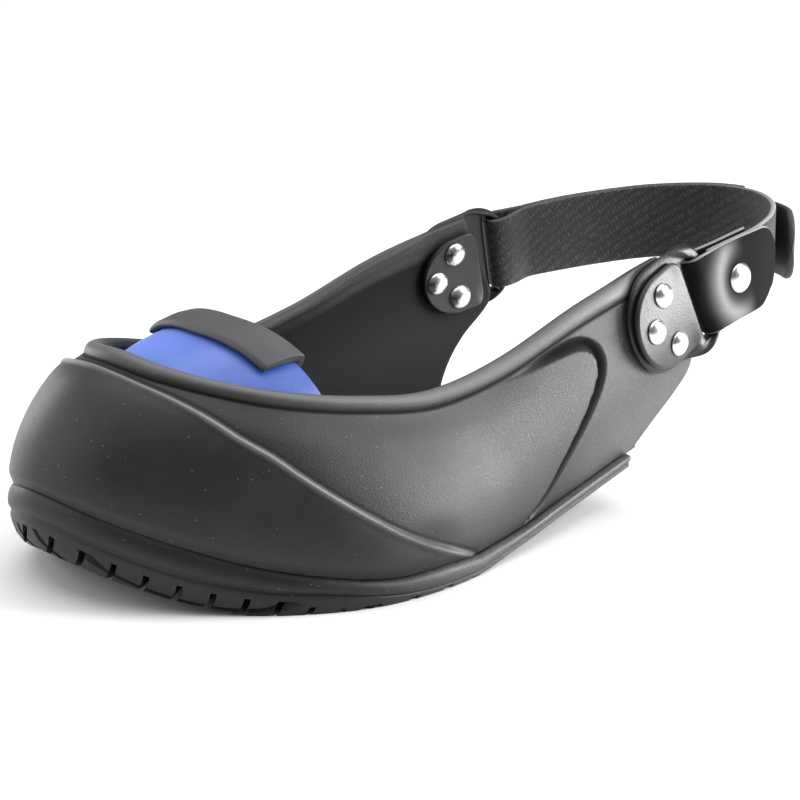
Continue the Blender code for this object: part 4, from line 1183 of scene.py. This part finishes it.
def strap_spine():
    """Middle line of the band from bar to bar, with its outward and cross directions."""
    line = catmull(np.vstack((bar_point(1), STRAP_LINE, bar_point(-1))), 24)
    run = runs_of(line)
    length = run[-1]
    stops = np.linspace(0.0, length, int(length) + 1)
    line = at_runs(stops, run, line)
    along = unit(np.gradient(line, axis=0))
    level = np.array((0.0, 0.0, 1.0))
    near = 1.0 - smooth(stops / TURN_BLEND)
    far = 1.0 - smooth((length - stops) / TURN_BLEND)
    across = near[:, None] * fitting_frame(1)[2] + far[:, None] * fitting_frame(-1)[2]
    across = unit(across + (1.0 - near - far)[:, None] * level)
    near = 1.0 - smooth(stops / LEAF_BLEND)
    far = 1.0 - smooth((length - stops) / LEAF_BLEND)
    out = unit(np.cross(along, across)) * (1.0 - near - far)[:, None]
    out = unit(out + near[:, None] * fitting_frame(1)[3] + far[:, None] * fitting_frame(-1)[3])
    return stops, line, out, across


SPINE = strap_spine()


def spine_at(run):
    """Place, outward and cross direction of the strap's middle line."""
    return [at_runs(run, SPINE[0], part) for part in SPINE[1:]]


def layer(run, offset):
    """Points of a layer at runs along the spine and offsets outwards, with cross directions."""
    line, out, across = spine_at(np.asarray(run, float))
    return line + out * np.asarray(offset, float)[:, None], across


def fold(side):
    """Half turn round the bar of one loop, from the inside to the outside, on the side away from the heel."""
    _, a_axis, b_axis, normal = fitting_frame(side)
    turn = np.radians(np.linspace(-90.0, 90.0, FOLD_STEPS)[1:-1])
    points = [bar_point(side) + FOLD_RADIUS * (math.sin(t) * normal - math.cos(t) * a_axis) for t in turn]
    return np.array(points), np.repeat(b_axis[None, :], len(points), axis=0)


def blend_offset(run, bar, at_bar, away):
    """Offset that changes from its value at a bar to that away from it."""
    return at_bar + (away - at_bar) * smooth(np.abs(np.asarray(run) - bar) / LEAF_BLEND)


def resample(points, across, spacing):
    """The same line with points at an even spacing, softened a little."""
    for _ in range(2):
        soft = 0.25 * points[:-2] + 0.5 * points[1:-1] + 0.25 * points[2:]
        points = np.vstack((points[:1], soft, points[-1:]))
    run = runs_of(points)
    stops = np.linspace(0.0, run[-1], int(run[-1] / spacing) + 1)
    return stops, at_runs(stops, run, points), unit(at_runs(stops, run, across))


def press_ring(spot, centre, outward, ahead):
    """Share of the crease that a rivet presses into the leather ahead of itself, on its head's side. It also
    sets the painted highlight on that crease.
    """
    away = spot - centre
    lift = float(away @ outward)
    if lift < 0.0:
        return 0.0
    radius = float(np.linalg.norm(away - lift * outward))
    front = float(smooth(0.5 + (away @ ahead) / PRESS_RADIUS))
    return front * float(bump(radius - PRESS_RADIUS, PRESS_WIDTH))


def build_band(name, points, across, width, thick, tip, press=None):
    """Flat band with rounded edges. tip is how far its last end is drawn in to a round tip, 0 for square.

    press is the place, the outward and the forward direction of a rivet that creases the band, and whose
    crease also gets a painted highlight.
    """
    run, points, across = resample(points, across, BAND_SPACING)
    out = unit(np.cross(unit(np.gradient(points, axis=0)), across))
    half = np.full(len(run), 0.5 * width)
    if tip > 0.0:
        share = np.clip((run[-1] - run) / tip, 0.0, 1.0)
        half = half * np.maximum(np.sqrt(1.0 - (1.0 - share) ** 2), 0.02)
    edge = np.clip(np.minimum(run, run[-1] - run) / (0.5 * thick), 0.0, 1.0)
    body = 0.5 * thick * np.sqrt(1.0 - (1.0 - edge) ** 2)
    section = []
    face_steps, edge_steps = BAND_SECTION
    for side in (1.0, -1.0):
        section += [(place, side) for place in np.linspace(-side, side, face_steps)]
        turns = np.linspace(0.5 * np.pi * side, -0.5 * np.pi * side, edge_steps)[1:-1]
        section += [(side, math.sin(turn)) for turn in turns]
    rows = []
    marks = []
    for k in range(len(run)):
        for place, level in section:
            round_off = 0.5 * thick * (1.0 - math.sqrt(max(0.0, 1.0 - level ** 2)))
            reach = place * half[k] - np.sign(place) * (round_off if abs(place) == 1.0 else 0.0) * 0.8
            spot = points[k] + across[k] * reach + out[k] * level * body[k]
            ring = press_ring(spot, *press) if press is not None and level > 0.99 else 0.0
            rows.append(spot + out[k] * PRESS_HEIGHT * ring)
            # The crease's share is also stored as the leather's painted highlight
            marks.append((run[k], place * half[k], level, ring))
    rows = np.array(rows).reshape(len(run), -1, 3)
    marks = np.array(marks).reshape(len(run), -1, 4)
    piece = shaped_grid(name, closed(rows))
    for index, label in enumerate(("run", "width", "face", "painted_highlight")):
        note(piece, label, closed(marks[:, :, index]))
    weld(piece)
    return piece


def build_strap():
    """Tab, band and pull tab of the heel strap."""
    length = SPINE[0][-1]
    tab_in = np.linspace(TAB_INNER, 0.0, TAB_STEPS[0])
    tab_out = np.linspace(0.0, TAB_OUTER, TAB_STEPS[1])
    inner, inner_across = layer(tab_in, -blend_offset(tab_in, 0.0, FOLD_RADIUS, LEAF_OFFSET))
    turn, turn_across = fold(1)
    lift = TAB_LIFT * np.clip((tab_out - TAB_RIVET_AT) / (TAB_OUTER - TAB_RIVET_AT), 0.0, 1.0) ** 2
    outer, outer_across = layer(tab_out, blend_offset(tab_out, 0.0, FOLD_RADIUS, LEAF_OFFSET) + lift)
    line, out, _ = spine_at(np.array([TAB_RIVET_AT]))
    tab = build_band("strap_tab_leather", np.vstack((inner, turn, outer)),
                     np.vstack((inner_across, turn_across, outer_across)), TAB_WIDTH, TAB_THICK, TIP_ROUND,
                     (line[0], out[0], -fitting_frame(1)[1]))
    band_in = np.linspace(BAND_START, length, BAND_STEPS[0])
    first, first_across = layer(band_in, -blend_offset(band_in, length, FOLD_RADIUS, 0.0))
    turn, turn_across = fold(-1)
    band_out = np.linspace(length, RETURN_END, BAND_STEPS[1])
    second, second_across = layer(band_out, blend_offset(band_out, length, FOLD_RADIUS, RETURN_OFFSET))
    band = build_band("strap_band_webbing", np.vstack((first, turn, second)),
                      np.vstack((first_across, turn_across, second_across)), BAND_WIDTH, BAND_THICK, 0.0)
    pull = np.linspace(RETURN_END - PULL_GAP, RETURN_END - PULL_GAP - PULL_TAB, PULL_STEPS)
    flare = PULL_FLARE * smooth((RETURN_END - pull) / PULL_TAB)
    points, across = layer(pull, RETURN_OFFSET + PULL_LIFT + flare)
    points = points - PULL_DROP * across
    pull_tab = build_band("strap_pull_end", points, across, PULL_WIDTH, PULL_THICK, PULL_ROUND)
    return tab, band, pull_tab


# Shader node groups and materials

def set_inputs(node, values):
    """Sets a node's inputs by their labels, which have a low line for each space."""
    for label, value in values.items():
        node.inputs[label.replace("_", " ")].default_value = value
    return node


def add_node(tree, kind, **inputs):
    return set_inputs(tree.nodes.new(kind), inputs)


def math_node(tree, operation, first, second=None):
    """Math node. first and second are numbers or sockets."""
    node = tree.nodes.new("ShaderNodeMath")
    node.operation = operation
    for index, value in enumerate((first, second)):
        if value is None:
            continue
        if isinstance(value, (int, float)):
            node.inputs[index].default_value = value
        else:
            tree.links.new(value, node.inputs[index])
    return node.outputs[0]


def new_group(name, inputs, outputs):
    """Node group with number outputs. inputs holds the default of each number, and None for a place."""
    tree = bpy.data.node_groups.new(name, "ShaderNodeTree")
    for label, default in inputs.items():
        kind = "NodeSocketVector" if default is None else "NodeSocketFloat"
        socket = tree.interface.new_socket(label, in_out="INPUT", socket_type=kind)
        if default is not None:
            socket.default_value = default
    for label in outputs:
        tree.interface.new_socket(label, in_out="OUTPUT", socket_type="NodeSocketFloat")
    return tree, tree.nodes.new("NodeGroupInput").outputs, tree.nodes.new("NodeGroupOutput").inputs


def skin_group():
    """Moulded skin: soft blotches, fine grain and sparse pale specks."""
    tree, start, stop = new_group("moulded_skin", {
        "Vector": None, "Blotch Scale": 40.0, "Grain Scale": 900.0, "Speck Scale": 420.0, "Speck Amount": 0.1,
    }, ("Shade", "Grain", "Specks"))
    shade = add_node(tree, "ShaderNodeTexNoise", Detail=4.0, Roughness=0.6)
    grain = add_node(tree, "ShaderNodeTexNoise", Detail=5.0, Roughness=0.65)
    specks = add_node(tree, "ShaderNodeTexVoronoi", Randomness=1.0)
    for node, scale in ((shade, "Blotch Scale"), (grain, "Grain Scale"), (specks, "Speck Scale")):
        tree.links.new(start["Vector"], node.inputs["Vector"])
        tree.links.new(start[scale], node.inputs["Scale"])
    split = add_node(tree, "ShaderNodeSeparateColor")
    tree.links.new(specks.outputs["Color"], split.inputs[0])
    chosen = math_node(tree, "LESS_THAN", split.outputs[0], start["Speck Amount"])
    small = math_node(tree, "LESS_THAN", specks.outputs["Distance"], SPECK_RADIUS)
    tree.links.new(math_node(tree, "MULTIPLY", chosen, small), stop["Specks"])
    tree.links.new(shade.outputs[0], stop["Shade"])
    tree.links.new(grain.outputs[0], stop["Grain"])
    return tree


def leather_group():
    """Leather grain: small cells between fine furrows, with soft pressure marks."""
    tree, start, stop = new_group("leather_grain", {
        "Vector": None, "Cell Scale": 1100.0, "Mark Scale": 60.0,
    }, ("Grain", "Shade"))
    cells = add_node(tree, "ShaderNodeTexVoronoi")
    cells.feature = "DISTANCE_TO_EDGE"
    marks = add_node(tree, "ShaderNodeTexNoise", Detail=5.0, Roughness=0.6)
    for node, scale in ((cells, "Cell Scale"), (marks, "Mark Scale")):
        tree.links.new(start["Vector"], node.inputs["Vector"])
        tree.links.new(start[scale], node.inputs["Scale"])
    steep = math_node(tree, "MULTIPLY", cells.outputs["Distance"], 4.0)
    tree.links.new(math_node(tree, "MINIMUM", steep, 1.0), stop["Grain"])
    tree.links.new(marks.outputs[0], stop["Shade"])
    return tree


def weave_group():
    """Hook rows: short dashes set in slanting rows along the band."""
    tree, start, stop = new_group("hook_rows", {
        "Run": 0.0, "Width": 0.0, "Row Pitch": 3.4, "Dash Pitch": 1.5,
    }, ("Dashes", "Rows"))
    slant = math_node(tree, "ADD", math_node(tree, "MULTIPLY", start["Run"], HOOK_SLANT), start["Width"])
    along = math_node(tree, "SUBTRACT", start["Run"], math_node(tree, "MULTIPLY", start["Width"], HOOK_SLANT))
    row = math_node(tree, "PINGPONG", math_node(tree, "DIVIDE", slant, start["Row Pitch"]), 0.5)
    dash = math_node(tree, "PINGPONG", math_node(tree, "DIVIDE", along, start["Dash Pitch"]), 0.5)
    in_row = math_node(tree, "GREATER_THAN", row, HOOK_GAPS[0])
    in_dash = math_node(tree, "GREATER_THAN", dash, HOOK_GAPS[1])
    tree.links.new(math_node(tree, "MULTIPLY", in_row, in_dash), stop["Dashes"])
    tree.links.new(row, stop["Rows"])
    return tree


def new_material(name, **values):
    """Material with its shader's even values set on the shader's own sockets."""
    material = bpy.data.materials.new(name)
    material.use_nodes = True
    shader = material.node_tree.nodes["Principled BSDF"]
    set_inputs(shader, values)
    return material, material.node_tree, shader


def use_group(tree, group, **values):
    """Places a node group in a material with its own values."""
    node = tree.nodes.new("ShaderNodeGroup")
    node.node_tree = group
    return set_inputs(node, values)


def use_skin(tree, group, **values):
    """A node group that reads the place on the piece."""
    node = use_group(tree, group, **values)
    place = tree.nodes.new("ShaderNodeTexCoord")
    tree.links.new(place.outputs["Object"], node.inputs["Vector"])
    return node


def read_attribute(tree, name):
    """Number that a piece stores for each of its points."""
    node = tree.nodes.new("ShaderNodeAttribute")
    node.attribute_name = name
    return node.outputs["Fac"]


def spread(tree, value, low, high, start=0.3, stop=0.7):
    """Stretches a value from start and stop to low and high."""
    node = add_node(tree, "ShaderNodeMapRange", From_Min=start, From_Max=stop, To_Min=low, To_Max=high)
    tree.links.new(value, node.inputs["Value"])
    return node.outputs[0]


def blend(tree, factor, first, second):
    """Mix of two colours. first and second are colours or sockets."""
    node = tree.nodes.new("ShaderNodeMix")
    node.data_type = "RGBA"
    tree.links.new(factor, node.inputs["Factor"])
    for label, value in (("A", first), ("B", second)):
        socket = [s for s in node.inputs if s.name == label and s.type == "RGBA"][0]
        if isinstance(value, tuple):
            socket.default_value = (*value, 1.0)
        else:
            tree.links.new(value, socket)
    return [s for s in node.outputs if s.type == "RGBA"][0]


def finish(tree, shader, tint, dull, height, distance, strength):
    """Feeds the shader its colour, its roughness and a relief of the given depth."""
    tree.links.new(tint, shader.inputs["Base Color"])
    tree.links.new(dull, shader.inputs["Roughness"])
    node = add_node(tree, "ShaderNodeBump", Distance=distance, Strength=strength)
    tree.links.new(height, node.inputs["Height"])
    tree.links.new(node.outputs[0], shader.inputs["Normal"])


def shade_of(colour, factor):
    """A colour made darker or lighter."""
    return tuple(factor * part for part in colour)


def rubber(name, colour, pale, rough, group, specks=(420.0, 0.08), grain=900.0, painted_sheen=False, crease=False):
    """Moulded rubber: satin black with soft cloudiness, fine grain and pale specks of dust.

    One switch paints it paler where the piece's attribute says so, as a painted sheen. crease darkens and
    roughens it where the piece's crease attribute says so, mostly as painted shade, and adds painted
    highlights where the piece says so.
    """
    _, tree, shader = new_material(name, Specular_IOR_Level=0.38)
    skin = use_skin(tree, group, Grain_Scale=grain, Speck_Scale=specks[0], Speck_Amount=specks[1])
    tint = blend(tree, spread(tree, skin.outputs["Shade"], 0.0, 1.0), colour, pale)
    # Painted sheen, broken up by the grain
    if painted_sheen:
        sheen_grain = spread(tree, skin.outputs["Grain"], 0.4, 1.0, 0.38, 0.62)
        sheen_share = math_node(tree, "MULTIPLY", read_attribute(tree, "painted_sheen"), sheen_grain)
        tint = blend(tree, sheen_share, tint, PAINTED_SHEEN_RUBBER)
    tint = blend(tree, math_node(tree, "MULTIPLY", skin.outputs["Specks"], 0.5), tint, SPECK_RUBBER)
    dull = spread(tree, skin.outputs["Shade"], rough[0], rough[1])
    if crease:
        # Painted shade in the creases and painted highlights on the ridge and the bead
        deep = math_node(tree, "MINIMUM", read_attribute(tree, "crease"), 1.0)
        tint = blend(tree, read_attribute(tree, "painted_highlight"), tint, PAINTED_HIGHLIGHT_RUBBER)
        tint = blend(tree, deep, tint, shade_of(colour, 0.2))
        dull = math_node(tree, "MAXIMUM", dull, deep)
    finish(tree, shader, tint, dull, skin.outputs["Grain"], 0.0003, 0.45)


def leather(name, colour, pale, rough, gloss, group, band=False):
    """Smooth leather. band is for a strip with a painted highlight on the crease round its rivet and a pale
    cut edge.
    """
    _, tree, shader = new_material(name, Specular_IOR_Level=gloss)
    skin = use_skin(tree, group)
    tint = blend(tree, spread(tree, skin.outputs["Shade"], 0.0, 1.0), colour, pale)
    dull = spread(tree, skin.outputs["Shade"], rough[0], rough[1])
    if band:
        # Painted highlight on the crease round the rivet
        highlight_shares = read_attribute(tree, "painted_highlight")
        tint = blend(tree, highlight_shares, tint, PAINTED_HIGHLIGHT_LEATHER)
        rim = math_node(tree, "LESS_THAN", math_node(tree, "ABSOLUTE", read_attribute(tree, "face")), 0.93)
        tint = blend(tree, rim, tint, CUT_LEATHER)
        dull = math_node(tree, "MULTIPLY", dull, spread(tree, highlight_shares, 1.0, 0.45, 0.0, 1.0))
    finish(tree, shader, tint, dull, skin.outputs["Grain"], 0.00006, 0.35)


def coating(name, colour, pale, group):
    """Blue coat on the metal cap: satin, with a light orange-peel texture, painted paler to the medial side
    and deeper to the lateral side as painted light and shade.
    """
    _, tree, shader = new_material(name, Metallic=0.0, Specular_IOR_Level=0.5, Coat_Weight=0.15,
                                   Coat_Roughness=0.25)
    skin = use_skin(tree, group, Grain_Scale=500.0, Blotch_Scale=55.0, Speck_Amount=0.02)
    # Painted light and shade across the cap
    tint = blend(tree, read_attribute(tree, "shade"), pale, colour)
    tint = blend(tree, spread(tree, skin.outputs["Shade"], 0.0, 0.25), tint, pale)
    dull = spread(tree, skin.outputs["Shade"], 0.36, 0.48)
    finish(tree, shader, tint, dull, skin.outputs["Grain"], 0.0001, 0.2)


def webbing(name, colour, pale, hooks, skin_tree):
    """Hook-and-loop band: slanting hook rows on its inner face, pile on its outer face and edges."""
    _, tree, shader = new_material(name, Specular_IOR_Level=0.35, Sheen_Weight=0.15,
                                   Sheen_Roughness=0.5)
    rows = use_group(tree, hooks)
    tree.links.new(read_attribute(tree, "run"), rows.inputs["Run"])
    tree.links.new(read_attribute(tree, "width"), rows.inputs["Width"])
    pile = use_skin(tree, skin_tree, Grain_Scale=1500.0, Blotch_Scale=700.0, Speck_Amount=0.05)
    inner = math_node(tree, "LESS_THAN", read_attribute(tree, "face"), -0.99)
    broken = spread(tree, pile.outputs["Shade"], 0.0, 1.0, 0.42, 0.56)
    dashes = math_node(tree, "MULTIPLY", math_node(tree, "MULTIPLY", rows.outputs["Dashes"], inner), broken)
    tint = blend(tree, dashes, colour, pale)
    outer = math_node(tree, "SUBTRACT", 1.0, inner)
    tufts = math_node(tree, "MULTIPLY", outer, spread(tree, pile.outputs["Grain"], 0.0, 1.0, 0.52, 0.66))
    tint = blend(tree, tufts, tint, PILE_TIPS)
    rim = math_node(tree, "LESS_THAN", math_node(tree, "ABSOLUTE", read_attribute(tree, "face")), 0.9)
    bared = spread(tree, read_attribute(tree, "run"), 1.0, 0.15, *BARED_RUN)
    tint = blend(tree, math_node(tree, "MULTIPLY", rim, bared), tint, CUT_LEATHER)
    dull = spread(tree, inner, 0.9, 0.62, 0.0, 1.0)
    height = math_node(tree, "ADD", math_node(tree, "MULTIPLY", dashes, 0.7), pile.outputs["Grain"])
    finish(tree, shader, tint, dull, height, 0.0006, 0.9)


def plated(name, colour, group):
    """Bright plating with faint signs of use."""
    _, tree, shader = new_material(name, Metallic=1.0)
    skin = use_skin(tree, group, Grain_Scale=1800.0, Blotch_Scale=260.0, Speck_Amount=0.02)
    tint = blend(tree, spread(tree, skin.outputs["Shade"], 0.0, 1.0), colour, shade_of(colour, 0.85))
    dull = spread(tree, skin.outputs["Shade"], 0.22, 0.34)
    finish(tree, shader, tint, dull, skin.outputs["Grain"], 0.00002, 0.15)


def finish_named(name):
    """A material of the overshoe by name. All of them are made on the first call."""
    if "satin_rubber" in bpy.data.materials:
        return bpy.data.materials[name]
    looks = bpy.context.scene.overshoe_looks
    skin = skin_group()
    grain = leather_group()
    hooks = weave_group()
    black = tuple(looks.rubber_colour)
    dusty = (620.0, 0.14)
    rubber("satin_rubber", black, shade_of(black, 1.6), (0.36, 0.5), skin, dusty, 2000.0, True, True)
    rubber("lug_rubber", shade_of(black, 0.8), black, (0.4, 0.54), skin, dusty, 1300.0, True)
    grey = shade_of(black, 5.0)
    rubber("strip_rubber", grey, shade_of(grey, 1.3), (0.5, 0.64), skin, grain=1100.0)
    rubber("pull_tip_rubber", shade_of(black, 3.0), shade_of(black, 4.0), (0.5, 0.64), skin)
    rubber("ring_rubber", shade_of(black, 0.7), black, (0.28, 0.4), skin, (420.0, 0.03))
    hide = tuple(looks.leather_colour)
    leather("plate_hide", hide, shade_of(hide, 1.4), (0.34, 0.42), 0.42, grain)
    leather("tab_hide", shade_of(hide, 0.3), shade_of(hide, 0.5), (0.86, 0.96), 0.1, grain, True)
    coating("blue_coat", tuple(looks.cap_colour), CAP_PAINTED_LIGHT_AND_BLOTCH, skin)
    web = tuple(looks.webbing_colour)
    webbing("hook_webbing", web, shade_of(web, 4.0), hooks, skin)
    plated("bright_plating", tuple(looks.metal_colour), skin)
    return bpy.data.materials[name]


# Settings that a user may change

def length(name, description, default):
    """Setting that is a length."""
    return FloatProperty(name=name, description=description, default=default, unit="LENGTH")


def tone(name, description, default):
    """Setting that is a colour."""
    return FloatVectorProperty(name=name, description=description, default=default, subtype="COLOR")


class OvershoeSizes(bpy.types.PropertyGroup):
    """Sizes of the fine forms."""

    wall: length("Wall", "Thickness of the rubber wall", 0.0026)
    toe_step: length("Toe step", "Height of the raised toe panel", 0.0015)
    side_step: length("Side step", "Height of the raised side panel", 0.0009)
    edge_width: length("Edge width", "Width of a panel's edge", 0.0016)
    edge_ridge: length("Edge ridge", "Height of the ridge along the toe panel's edge", 0.0006)
    groove_span: length("Groove span", "Width of the groove behind the side panel", 0.0041)
    groove_depth: length("Groove depth", "Depth of the groove behind the side panel", 0.0020)
    foot_share: FloatProperty(name="Foot share", description="Share of the relief left at the wall's foot",
                              default=0.4)
    groove_pitch: length("Groove pitch", "Distance between tread grooves", 0.0095)
    groove_width: length("Groove width", "Width of a tread groove", 0.0018)
    loop_swell: FloatProperty(name="Loop swell", description="Extra thickness of the loop's arms",
                              default=1.4)
    rivet_dome: length("Rivet dome", "Height of a rivet's head", 0.0022)


class OvershoeLooks(bpy.types.PropertyGroup):
    """Colours of the finishes."""

    rubber_colour: tone("Rubber", "Colour of the moulded rubber", (0.012, 0.012, 0.013))
    leather_colour: tone("Leather", "Colour of plates and tab", (0.020, 0.020, 0.022))
    webbing_colour: tone("Webbing", "Colour of the band", (0.014, 0.014, 0.016))
    cap_colour: tone("Toe cap", "Colour of the cap's coat", (0.022, 0.078, 0.36))
    metal_colour: tone("Rivets", "Colour of the plating", (0.80, 0.80, 0.81))
    floor_colour: tone("Floor", "Colour of the floor", (0.92, 0.92, 0.93))
    world_light: FloatProperty(name="Room light", description="Strength of the even light", default=0.14)
    light_power: FloatProperty(name="Light", description="Strength of the studio lights", default=1.0)


class OVERSHOE_OT_upper(bpy.types.Operator):
    """Models the rubber wall with its rolled rim and raised panels"""

    bl_idname = "overshoe.make_upper"
    bl_label = "Upper"

    def execute(self, context):
        piece = build_upper(context.scene.overshoe_sizes)
        settle(piece, finish_named("satin_rubber"), "upper_rubber", "upper")
        return {"FINISHED"}


class OVERSHOE_OT_sole(bpy.types.Operator):
    """Models the sole with its lip and its lugs"""

    bl_idname = "overshoe.make_sole"
    bl_label = "Sole"

    def execute(self, context):
        piece = build_sole(context.scene.overshoe_sizes)
        settle(piece, finish_named("lug_rubber"), "tread_rubber", "outsole")
        return {"FINISHED"}


class OVERSHOE_OT_cap(bpy.types.Operator):
    """Models the metal toe cap and the rubber guard on its rim"""

    bl_idname = "overshoe.make_cap"
    bl_label = "Toe cap"

    def execute(self, context):
        settle(build_cap(), finish_named("blue_coat"), "cap_coating", "toe_cap")
        settle(build_guard(), finish_named("strip_rubber"), "guard_rubber", "toe_cap_guard")
        return {"FINISHED"}


class OVERSHOE_OT_fittings(bpy.types.Operator):
    """Models the loops, plates and rivets of both wings"""

    bl_idname = "overshoe.make_fittings"
    bl_label = "Wing fittings"

    def execute(self, context):
        sizes = context.scene.overshoe_sizes
        for side, label in SIDES.items():
            loop = build_loop(side, sizes)
            settle(loop, finish_named("ring_rubber"), "loop_rubber", label + "_strap_loop")
            for kind in PLATES:
                plate = build_plate(side, kind)
                settle(plate, finish_named("plate_hide"), "plate_leather", "%s_%s" % (label, kind))
            for place, spot in RIVETS.items():
                rib, share = fitting_place(side, np.array(spot[0]), np.array(spot[1]))
                rivet = build_rivet("%s_%s_rivet" % (label, place), wall_point(rib, share),
                                    wall_normal(rib, share), RIVET_LOW, RIVET_HIGH, RIVET_HEAD,
                                    sizes.rivet_dome / MM)
                settle(rivet, finish_named("bright_plating"), "rivet_metal", "%s_rivet_%s" % (label, place))
        return {"FINISHED"}


class OVERSHOE_OT_strap(bpy.types.Operator):
    """Models the heel strap, its leather tab, its pull tab and its rivet"""

    bl_idname = "overshoe.make_strap"
    bl_label = "Heel strap"

    def execute(self, context):
        tab, band, pull = build_strap()
        settle(tab, finish_named("tab_hide"), "tab_leather", "strap_tab")
        settle(band, finish_named("hook_webbing"), "band_webbing", "strap_band")
        settle(pull, finish_named("pull_tip_rubber"), "pull_rubber", "strap_pull_tab")
        line, out, _ = spine_at(np.array([TAB_RIVET_AT]))
        reach = LEAF_OFFSET + 0.5 * TAB_THICK
        rivet = build_rivet("tab_dome_rivet", line[0], out[0], -reach, reach, TAB_RIVET_HEAD,
                            context.scene.overshoe_sizes.rivet_dome / MM)
        settle(rivet, finish_named("bright_plating"), "rivet_metal", "tab_rivet")
        return {"FINISHED"}


def soft_light(name, place, target, size, power):
    """Adds one rectangular studio light."""
    deselect()
    bpy.ops.object.light_add(type="AREA", location=place)
    light = bpy.context.active_object
    light.name = name
    light.data.shape = "RECTANGLE"
    light.data.size = size[0]
    light.data.size_y = size[1]
    light.data.energy = power
    light.rotation_euler = (Vector(place) - Vector(target)).to_track_quat("Z", "Y").to_euler()


class OVERSHOE_OT_stage(bpy.types.Operator):
    """Sets the pale floor, the soft lights and the camera"""

    bl_idname = "overshoe.make_stage"
    bl_label = "Stage"

    def execute(self, context):
        scene = context.scene
        looks = scene.overshoe_looks
        deselect()
        bpy.ops.mesh.primitive_plane_add(size=FLOOR_SIZE, location=(0.0, 0.0, 0.0))
        floor = context.active_object
        floor.name = "studio_floor"
        material, _, shader = new_material("pale_floor", Roughness=0.8, Specular_IOR_Level=0.2)
        shader.inputs["Base Color"].default_value = (*looks.floor_colour, 1.0)
        floor.data.materials.append(material)
        world = bpy.data.worlds.new("studio_world")
        world.use_nodes = True
        set_inputs(world.node_tree.nodes["Background"], {
            "Color": (1.0, 1.0, 1.0, 1.0), "Strength": looks.world_light,
        })
        scene.world = world
        for name, place, target, size, watts in LIGHTS:
            soft_light(name, place, target, size, watts * looks.light_power)
        turn = math.radians(CAMERA_TURN)
        rise = math.radians(CAMERA_RISE)
        back = Vector((math.cos(turn) * math.cos(rise), math.sin(turn) * math.cos(rise), math.sin(rise)))
        deselect()
        bpy.ops.object.camera_add(location=CAMERA_TARGET + back * CAMERA_DISTANCE)
        camera = context.active_object
        camera.rotation_euler = back.to_track_quat("Z", "Y").to_euler()
        camera.data.lens = CAMERA_LENS
        camera.data.sensor_width = CAMERA_SENSOR
        camera.data.sensor_fit = "HORIZONTAL"
        scene.camera = camera
        scene.view_settings.view_transform = "Standard"
        return {"FINISHED"}


class OVERSHOE_PT_panel(bpy.types.Panel):
    """Lists the sizes, the colours and the pieces"""

    bl_label = "Overshoe"
    bl_idname = "OVERSHOE_PT_panel"
    bl_space_type = "VIEW_3D"
    bl_region_type = "UI"
    bl_category = "Overshoe"

    def draw(self, context):
        for group in (context.scene.overshoe_sizes, context.scene.overshoe_looks):
            box = self.layout.box()
            for name in group.bl_rna.properties.keys():
                if name not in ("rna_type", "name"):
                    box.prop(group, name)
        for operator in OPERATORS:
            self.layout.operator(operator.bl_idname)


OPERATORS = (OVERSHOE_OT_upper, OVERSHOE_OT_sole, OVERSHOE_OT_cap, OVERSHOE_OT_fittings, OVERSHOE_OT_strap,
             OVERSHOE_OT_stage)
CLASSES = (OvershoeSizes, OvershoeLooks) + OPERATORS + (OVERSHOE_PT_panel,)


def register():
    for item in CLASSES:
        bpy.utils.register_class(item)
    bpy.types.Scene.overshoe_sizes = PointerProperty(type=OvershoeSizes)
    bpy.types.Scene.overshoe_looks = PointerProperty(type=OvershoeLooks)


def unregister():
    del bpy.types.Scene.overshoe_looks
    del bpy.types.Scene.overshoe_sizes
    for item in reversed(CLASSES):
        bpy.utils.unregister_class(item)


def main():
    """Models all pieces."""
    register()
    bpy.ops.overshoe.make_upper()
    bpy.ops.overshoe.make_sole()
    bpy.ops.overshoe.make_cap()
    bpy.ops.overshoe.make_fittings()
    bpy.ops.overshoe.make_strap()
    bpy.ops.overshoe.make_stage()


if __name__ == "__main__":
    main()
